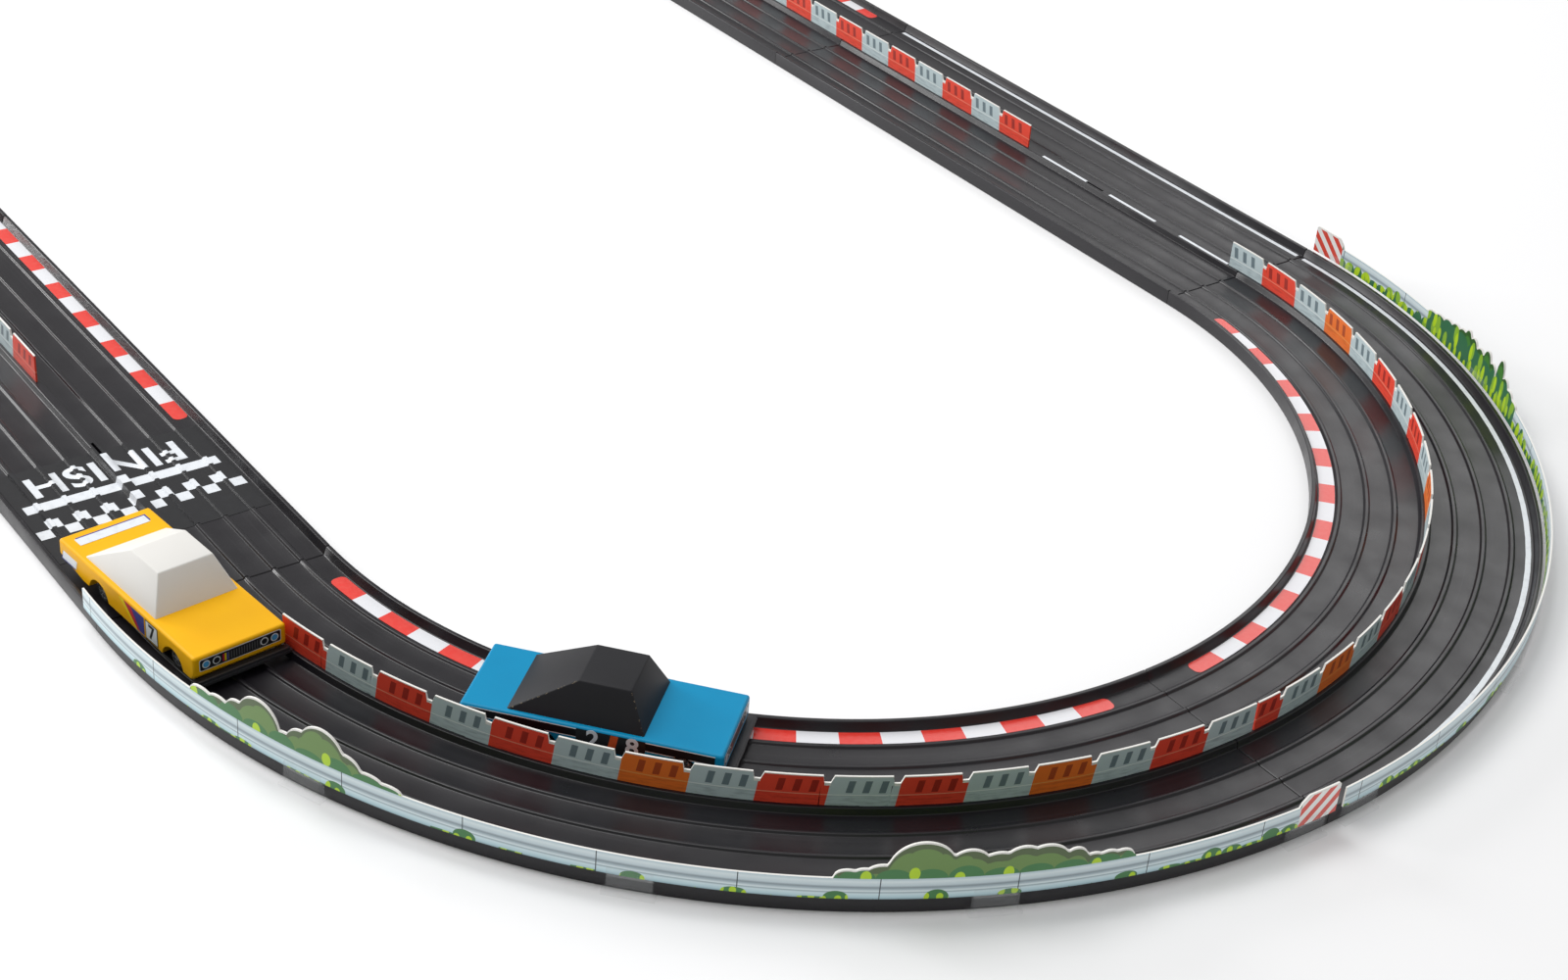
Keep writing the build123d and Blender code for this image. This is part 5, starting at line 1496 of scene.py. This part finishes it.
@dataclass
class ToyCar:
    """A wooden car: faceted cabin, painted block, printed nose, plates and stripes."""

    axes: CarFrame
    livery: CarLivery
    half_width: float = 20.6
    nose: float = 51.5
    deck: float = 18.8
    roof: float = 34.0
    cabin_base: tuple[float, float, float] = (-34.0, 20.5, 18.6)
    cabin_roof: tuple[float, float, float] = (-7.5, 13.0, 12.2)
    grille: tuple[float, float, float] = (11.8, 17.3, 18.2)

    @property
    def colour(self) -> str:
        """The car's name in the frame."""
        return self.axes.colour

    @property
    def rider(self) -> str:
        """The body that the car's fixed pieces ride on."""
        return f"{self.colour}_car"

    def cabin(self) -> None:
        """Shape the cabin from a cube: its top face shrinks to the roof, and its edges are eased."""
        bpy.ops.mesh.primitive_cube_add(size=1.0)
        piece = bpy.context.active_object
        base, roof = self.cabin_base, self.cabin_roof
        for vertex in piece.data.vertices:
            rear, front, half = roof if vertex.co.z > 0 else base
            x = front if vertex.co.x > 0 else rear
            y = half if vertex.co.y > 0 else -half
            vertex.co = Vector((x, y, self.roof if vertex.co.z > 0 else self.deck - 0.3)) * MM
        add_modifier(piece, "BEVEL", width=0.55 * MM, segments=3)
        smooth(piece, 20)
        self.axes.put(piece, f"{self.colour}_greenhouse")
        dress(piece, self.livery.cabin)
        finish_piece(piece, self.rider, f"{self.colour}_cabin_paint", f"{self.colour}_cabin")

    def decal(self, name: str, corners: Sequence[tuple[float, float]], side: int, lift: float,
              material: bpy.types.Material, slot: str) -> None:
        """Stick a four-cornered print on a flank.

        Args:
            name: the piece's name.
            corners: distance along the car and height of each corner, anticlockwise.
            side: -1 for the car's right flank, 1 for its left.
            lift: distance off the paint in millimetres.
            material: its print.
            slot: its material slot in the record; not used.
        """
        piece = panel(name, (0, 1), (0, 1))
        order = ((0, 0), (1, 0), (1, 1), (0, 1))
        for vertex in piece.data.vertices:
            key = (round(vertex.co.x / MM), round(vertex.co.z / MM))
            x, z = corners[order.index(key)]
            vertex.co = Vector((x, side * (self.half_width + lift), z)) * MM
        add_modifier(piece, "SOLIDIFY", thickness=0.05 * MM, offset=1.0 if side < 0 else -1.0)
        self.axes.put(piece, name)
        dress(piece, material)
        finish_piece(piece, self.rider, slot)

    def slanted(self, foot: tuple[float, float], heights: tuple[float, float],
                lean: float = 0.0) -> Sequence[tuple[float, float]]:
        """Give the corners of a bar from its foot along the car, its two heights and its lean."""
        (rear, front), (low, high) = foot, heights
        return (rear, low), (front, low), (front + lean, high), (rear + lean, high)

    def deck_bar(self, name: str, x: tuple[float, float], y: tuple[float, float], lift: float,
                 material: bpy.types.Material, slot: str) -> None:
        """Stick a bar across the boot lid, between two places along the car and two across it."""
        piece = sheet(name, x, y, self.deck + lift)
        add_modifier(piece, "SOLIDIFY", thickness=0.05 * MM, offset=1.0)
        self.axes.put(piece, name)
        dress(piece, material)
        finish_piece(piece, self.rider, slot)

    def digits(self, name: str, text: str, x: float, z: float, height: float, side: int) -> None:
        """Print a racing number upright on a flank.

        Args:
            name: the piece's name.
            text: the number.
            x: middle of the number along the car in millimetres.
            z: height of its middle in millimetres.
            height: height of a digit in millimetres.
            side: -1 for the car's right flank, 1 for its left.
        """
        bpy.ops.object.text_add()
        piece = bpy.context.active_object
        piece.data.body = text
        piece.data.size = height * 1.38 * MM
        piece.data.align_x = "CENTER"
        piece.data.align_y = "CENTER"
        piece.data.offset = height * 0.035 * MM
        piece.data.extrude = 0.03 * MM
        bpy.ops.object.convert(target="MESH")
        piece.rotation_euler = (math.pi / 2, 0, 0 if side < 0 else math.pi)
        piece.location = (x * MM, side * (self.half_width + 0.12) * MM, z * MM)
        settle(piece, name)
        self.axes.put(piece, name)
        dress(piece, self.livery.digits)
        finish_piece(piece, self.rider, "line_print")

    def nose_print(self, film: bpy.types.Material, border: bpy.types.Material,
                   lamp: bpy.types.Material, fin: bpy.types.Material,
                   stripes: Sequence[bpy.types.Material]) -> None:
        """Stick on the grille: black film with a pale border, four round lamps, fins and small stripes."""
        low, high, half = self.grille
        made = []
        for name, inset, lift, material in (("border", 0.0, 0.0, border), ("film", 0.35, 0.05, film)):
            bpy.ops.mesh.primitive_plane_add(size=1.0)
            plate = bpy.context.active_object
            plate.scale = (2 * (half - inset) * MM, (high - low - 2 * inset) * MM, 1)
            settle(plate, f"{self.colour}_{name}")
            with editing(plate):
                bpy.ops.mesh.bevel(offset=0.8 * MM, segments=4, affect="VERTICES")
            made.append((plate, lift, material, 0.0))
        for side in (1, -1):
            for n, (off, ink) in enumerate(((half - 3.0, lamp), (half - 7.6, film))):
                made += [(self.disc(1.75), 0.1, border, side * off), (self.disc(1.3), 0.15, ink, side * off)]
        for n in range(13):
            made.append((self.bar(0.3, 3.4), 0.1, fin, (n - 4.5) * 1.15))
        for n, ink in enumerate(stripes):
            made.append((self.bar(0.75, 3.4), 0.14, ink, -7.6 + n * 0.9))
        only(made[0][0])
        for piece, lift, material, off in made:
            dress(piece, material)
            add_modifier(piece, "SOLIDIFY", thickness=0.05 * MM, offset=1.0)
            piece.rotation_euler = (math.pi / 2, 0, math.pi / 2)
            piece.location = Vector((self.nose + lift, off, (low + high) / 2)) * MM
            settle(piece, piece.name)
        only(made[0][0])
        for piece, *_ in made:
            piece.select_set(True)
        bpy.ops.object.join()
        grille = self.axes.put(made[0][0], f"{self.colour}_nose_print")
        finish_piece(grille, self.rider, "grille_print", f"{self.colour}_grille_sticker")

    def disc(self, radius: float) -> bpy.types.Object:
        """Add a flat disc, in millimetres."""
        bpy.ops.mesh.primitive_circle_add(vertices=32, radius=radius * MM, fill_type="NGON")
        return bpy.context.active_object

    def bar(self, width: float, height: float) -> bpy.types.Object:
        """Add a small upright bar with cut corners, in millimetres."""
        bpy.ops.mesh.primitive_plane_add(size=1.0)
        bar = bpy.context.active_object
        bar.scale = (width * MM, height * MM, 1)
        settle(bar, "bar")
        with editing(bar):
            bpy.ops.mesh.bevel(offset=0.1 * MM, segments=2, affect="VERTICES")
        return bar

    def dress_cad(self, finishes: dict[str, bpy.types.Material]) -> None:
        """Give the carried-over CAD nodes their finishes."""
        for ending, material in finishes.items():
            dress(frame["nodes"][f"{self.colour}_{ending}"], material)
        dress(frame["nodes"][f"{self.colour}_body"], self.livery.body)


# ---------------------------------------------------------------- studio
@dataclass
class Studio:
    """Pale floor, soft lights and the camera."""

    eye: tuple[float, float, float] = (1.15494, -0.65260, 0.60968)
    yaw: float = 141.181
    pitch: float = 31.988
    roll: float = 5.1453
    lens: float = 59.243

    def camera(self) -> None:
        """Stand the camera at the outer side of the right bend, looking down along the oval."""
        yaw, pitch, roll = (math.radians(a) for a in (self.yaw, self.pitch, self.roll))
        ahead = Vector((math.cos(yaw) * math.cos(pitch), math.sin(yaw) * math.cos(pitch), -math.sin(pitch)))
        right = Vector((math.sin(yaw), -math.cos(yaw), 0))
        up = right.cross(ahead)
        rolled_right = right * math.cos(roll) + up * math.sin(roll)
        rolled_up = up * math.cos(roll) - right * math.sin(roll)
        data = bpy.data.cameras.new("camera")
        data.lens = self.lens
        data.clip_start = 0.01
        camera = bpy.data.objects.new("camera", data)
        turn = Matrix((rolled_right, rolled_up, -ahead)).transposed().to_4x4()
        camera.matrix_world = Matrix.Translation(self.eye) @ turn
        bpy.context.scene.collection.objects.link(camera)
        bpy.context.scene.camera = camera

    def floor(self, material: bpy.types.Material) -> None:
        """Lay the floor just under the circuit."""
        bpy.ops.mesh.primitive_plane_add(size=14.0, location=(0, 0, -0.0001))
        floor = settle(bpy.context.active_object, "studio_floor")
        dress(floor, material)

    def soft_box(self, name: str, azimuth: float, elevation: float, distance: float, size: float,
                 power: float) -> None:
        """Hang a square light that faces the middle of the right bend."""
        a, e = math.radians(azimuth), math.radians(elevation)
        data = bpy.data.lights.new(name, "AREA")
        data.shape = "SQUARE"
        data.size = size
        data.energy = power
        light = bpy.data.objects.new(name, data)
        aim = Vector((0.3, 0, 0))
        away = Vector((math.cos(a) * math.cos(e), math.sin(a) * math.cos(e), math.sin(e)))
        light.location = aim + away * distance
        light.rotation_euler = away.to_track_quat("Z", "Y").to_euler()
        bpy.context.scene.collection.objects.link(light)

    def build(self, floor: bpy.types.Material) -> None:
        """Set the scene."""
        self.camera()
        self.floor(floor)
        world = bpy.data.worlds.new("studio")
        world.use_nodes = True
        world.node_tree.nodes["Background"].inputs["Color"].default_value = (1.0, 1.0, 1.0, 1.0)
        world.node_tree.nodes["Background"].inputs["Strength"].default_value = 0.42
        bpy.context.scene.world = world
        bpy.context.scene.view_settings.view_transform = "Standard"
        self.soft_box("overhead", -150, 64, 2.6, 2.0, 48)
        self.soft_box("back", 118, 36, 2.8, 1.3, 9)
        self.soft_box("side", 207, 16, 2.6, 1.2, 38)


def track_finishes() -> dict[str, bpy.types.Material]:
    """Make the finishes of the circuit."""
    return {
        "plastic": MouldedPlastic("moulded_polystyrene", 0.32, light="#18151B", dark="#100E13",
                                  rub=0.12).build(),
        "pale": BarrierPrint("barrier_pale_print", 0.42, colour="#C4D4D7", shade="#72838A",
                             edge="#E8F0EF").build(),
        "red": BarrierPrint("barrier_red_print", 0.42, colour="#F24A33", shade="#A8281A",
                            edge="#F7937A").build(),
        "orange": BarrierPrint("barrier_orange_print", 0.42, colour="#F5792A", shade="#B34A1C",
                               edge="#F6A45A").build(),
        "core": CutCard("cut_card", 0.85).build(),
        "scenery": SceneryPrint("scenery_print", 0.4).build(),
        "meadow": SceneryPrint("meadow_print", 0.4, meadow=True, rim="#2E5D1E", mid="#3F7F2C", deep="#2C6E46",
                               leaves=((6.4, 11.2, 1.7, 4.2, 0.75, 2.0), (8.7, 17.8, 2.0, 4.8, 0.65, 7.0),
                                       (5.2, 9.4, 1.2, 3.0, 0.75, 1.0), (7.3, 13.8, 1.4, 4.4, 0.6, 5.0)),
                               tufts=(6.4, 1.4, 5.6), tuft_foot=9.8).build(),
        "hazard": BandPrint("hazard_print", 0.4, first="#DF4330", second="#F6F5F2", pitch=8.4,
                            slant=-1.1).build(),
        "kerb": BandPrint("kerb_film", 0.3).build(),
        "white": PlainPrint("white_film", 0.35).build(),
        "black_film": PlainPrint("black_film", 0.3, colour="#1B1B1E", worn="#26262A").build(),
        "fin": PlainPrint("fin_ink", 0.35, colour="#6E6E72", worn="#5E5E62").build(),
        "clear": ClearPlastic("clear_polycarbonate", 0.08, 1.58).build(),
    }


def car_finishes() -> dict[str, bpy.types.Material]:
    """Make the finishes that both cars share, by the ending of the CAD node's name."""
    rubber = MouldedPlastic("tyre_rubber", 0.7, light="#1C1C1D", dark="#121213", grain=0.4, depth=0.05).build()
    hub = Metal("metallised_hub", 0.25, colour="#D4D6D9").build()
    steel = Metal("ground_steel", 0.3).build()
    black = MouldedPlastic("moulded_abs", 0.45, light="#222224", dark="#18181A").build()
    blade = MouldedPlastic("blade_abs", 0.22, light="#37373B", dark="#2B2B2F").build()
    white = MouldedPlastic("white_acetal", 0.4, light="#EEEDE6", dark="#DCDAD2").build()
    return {
        "chassis": black, "guide_blade": blade, "power_switch": black,
        "battery": MouldedPlastic("battery_sleeve", 0.3, light="#3F6FA8", dark="#355F92").build(),
        "circuit_board": MouldedPlastic("solder_mask", 0.35, light="#1F6B3A", dark="#185830").build(),
        "motor_can": Metal("drawn_steel", 0.28).build(), "motor_end_cap": white, "rear_gear": white,
        "motor_pinion": Metal("cut_brass", 0.25, colour="#D8B26A").build(),
        "rear_axle": steel, "front_axle": steel, "screws": steel,
        "rear_wheels": hub, "front_wheels": hub, "rear_tyres": rubber, "front_tyres": rubber,
    }


def build_yellow(track: dict[str, bpy.types.Material], shared: dict[str, bpy.types.Material]) -> None:
    """Build the yellow car with its diagonal stripes and black plate."""
    axes = CarFrame("yellow")
    paint = Enamel("yellow_enamel", 0.38).build()
    cabin = Enamel("white_enamel", 0.42, colour="#E4E2DE", shade="#DEDCD7", wear=0.0).build()
    red = PlainPrint("red_ink", 0.4, colour="#C61F3A", worn="#B01C34").build()
    violet = PlainPrint("violet_ink", 0.4, colour="#3B3F92", worn="#34387F").build()
    gold = PlainPrint("gold_ink", 0.4, colour="#F0D800", worn="#E0C800").build()
    sky = PlainPrint("sky_ink", 0.3, colour="#4FA3DC", worn="#4392C8").build()
    car = ToyCar(axes, CarLivery(paint, cabin, track["black_film"]))
    car.dress_cad(shared)
    car.cabin()
    car.nose_print(track["black_film"], track["white"], sky, track["fin"], (red, gold, violet))
    car.deck_bar("yellow_boot_shadow", (-47.4, -42.4), (-15.4, 16.2), 0.02, violet, "grille_print")
    car.deck_bar("yellow_boot_stripe", (-46.6, -41.4), (-16.2, 15.4), 0.07, track["white"], "line_print")
    for side, word in ((-1, "right"), (1, "left")):
        car.decal(f"yellow_tail_shadow_{word}", car.slanted((-49.4, -38.4), (10.4, 14.4), 1.0), side,
                  0.02, violet, "grille_print")
        car.decal(f"yellow_tail_stripe_{word}", car.slanted((-48.8, -37.8), (11.0, 15.0), 1.0), side,
                  0.07, track["white"], "line_print")
        stripes = (("gold", gold, (-4.0, -0.4), (8.0, 9.6)), ("red", red, (-0.4, 5.0), (9.6, 11.6)),
                   ("violet", violet, (5.0, 15.0), (11.6, 15.0)))
        for name, ink, top, foot in stripes:
            corners = ((foot[0], 9.0), (foot[1], 9.0), (top[1], 17.4), (top[0], 17.4))
            car.decal(f"yellow_{name}_stripe_{word}", corners, side, 0.02, ink, "grille_print")
        car.decal(f"yellow_plate_edge_{word}", car.slanted((16.0, 25.2), (8.8, 17.5)), side, 0.02,
                  track["black_film"], "grille_print")
        car.decal(f"yellow_plate_{word}", car.slanted((16.5, 24.7), (9.3, 17.0)), side, 0.07,
                  track["white"], "line_print")
        car.digits(f"yellow_number_{word}", "7", 20.6, 13.1, 6.4, side)


def build_blue(track: dict[str, bpy.types.Material], shared: dict[str, bpy.types.Material]) -> None:
    """Build the blue car with its black flank band and split number."""
    axes = CarFrame("blue")
    paint = BandedEnamel("blue_enamel", 0.38, colour="#0091C0", shade="#0086B4", wear=0.5,
                         to_car=axes.matrix.inverted()).build()
    cabin = Enamel("charcoal_enamel", 0.5, colour="#262629", shade="#202023", wear=0.8).build()
    rust = PlainPrint("rust_ink", 0.4, colour="#D8561C", worn="#C44C18").build()
    sky = PlainPrint("lamp_ink", 0.3, colour="#B8C4CC", worn="#A8B4BC").build()
    car = ToyCar(axes, CarLivery(paint, cabin, track["white"]))
    car.dress_cad(shared)
    car.cabin()
    car.nose_print(track["black_film"], track["white"], sky, track["fin"], (rust,))
    for side, word in ((-1, "right"), (1, "left")):
        car.decal(f"blue_number_band_{word}", car.slanted((-5.5, 21.5), (10.0, 18.2)), side, 0.02,
                  track["black_film"], "grille_print")
        car.decal(f"blue_number_bar_{word}", car.slanted((6.6, 9.6), (10.2, 18.0), 1.4), side, 0.06,
                  rust, "line_print")
        first, last = ("2", "8") if side < 0 else ("8", "2")
        car.digits(f"blue_first_digit_{word}", first, 1.0, 14.3, 7.6, side)
        car.digits(f"blue_last_digit_{word}", last, 16.4, 14.3, 7.6, side)


def main() -> None:
    """Build every sub-assembly in order."""
    logging.basicConfig(level=logging.INFO, format="%(name)s: %(message)s")
    Studio().build(FloorPaint("floor_paint", 0.7).build())
    circuit = Circuit()
    track = track_finishes()
    TrackOval(circuit).build(track["plastic"])
    Barriers(circuit).build([track["pale"], track["red"], track["orange"], track["core"]])
    Scenery(circuit).build([track["scenery"], track["core"], track["hazard"], track["meadow"]])
    DeckFilm(circuit).build(track["kerb"], track["white"])
    dress(frame["nodes"]["board_clips"], track["clear"])
    dress(frame["nodes"]["line_stickers"], track["white"])
    dress(frame["nodes"]["finish_sticker"], track["black_film"])
    shared = car_finishes()
    build_yellow(track, shared)
    build_blue(track, shared)


if __name__ == "__main__":
    main()
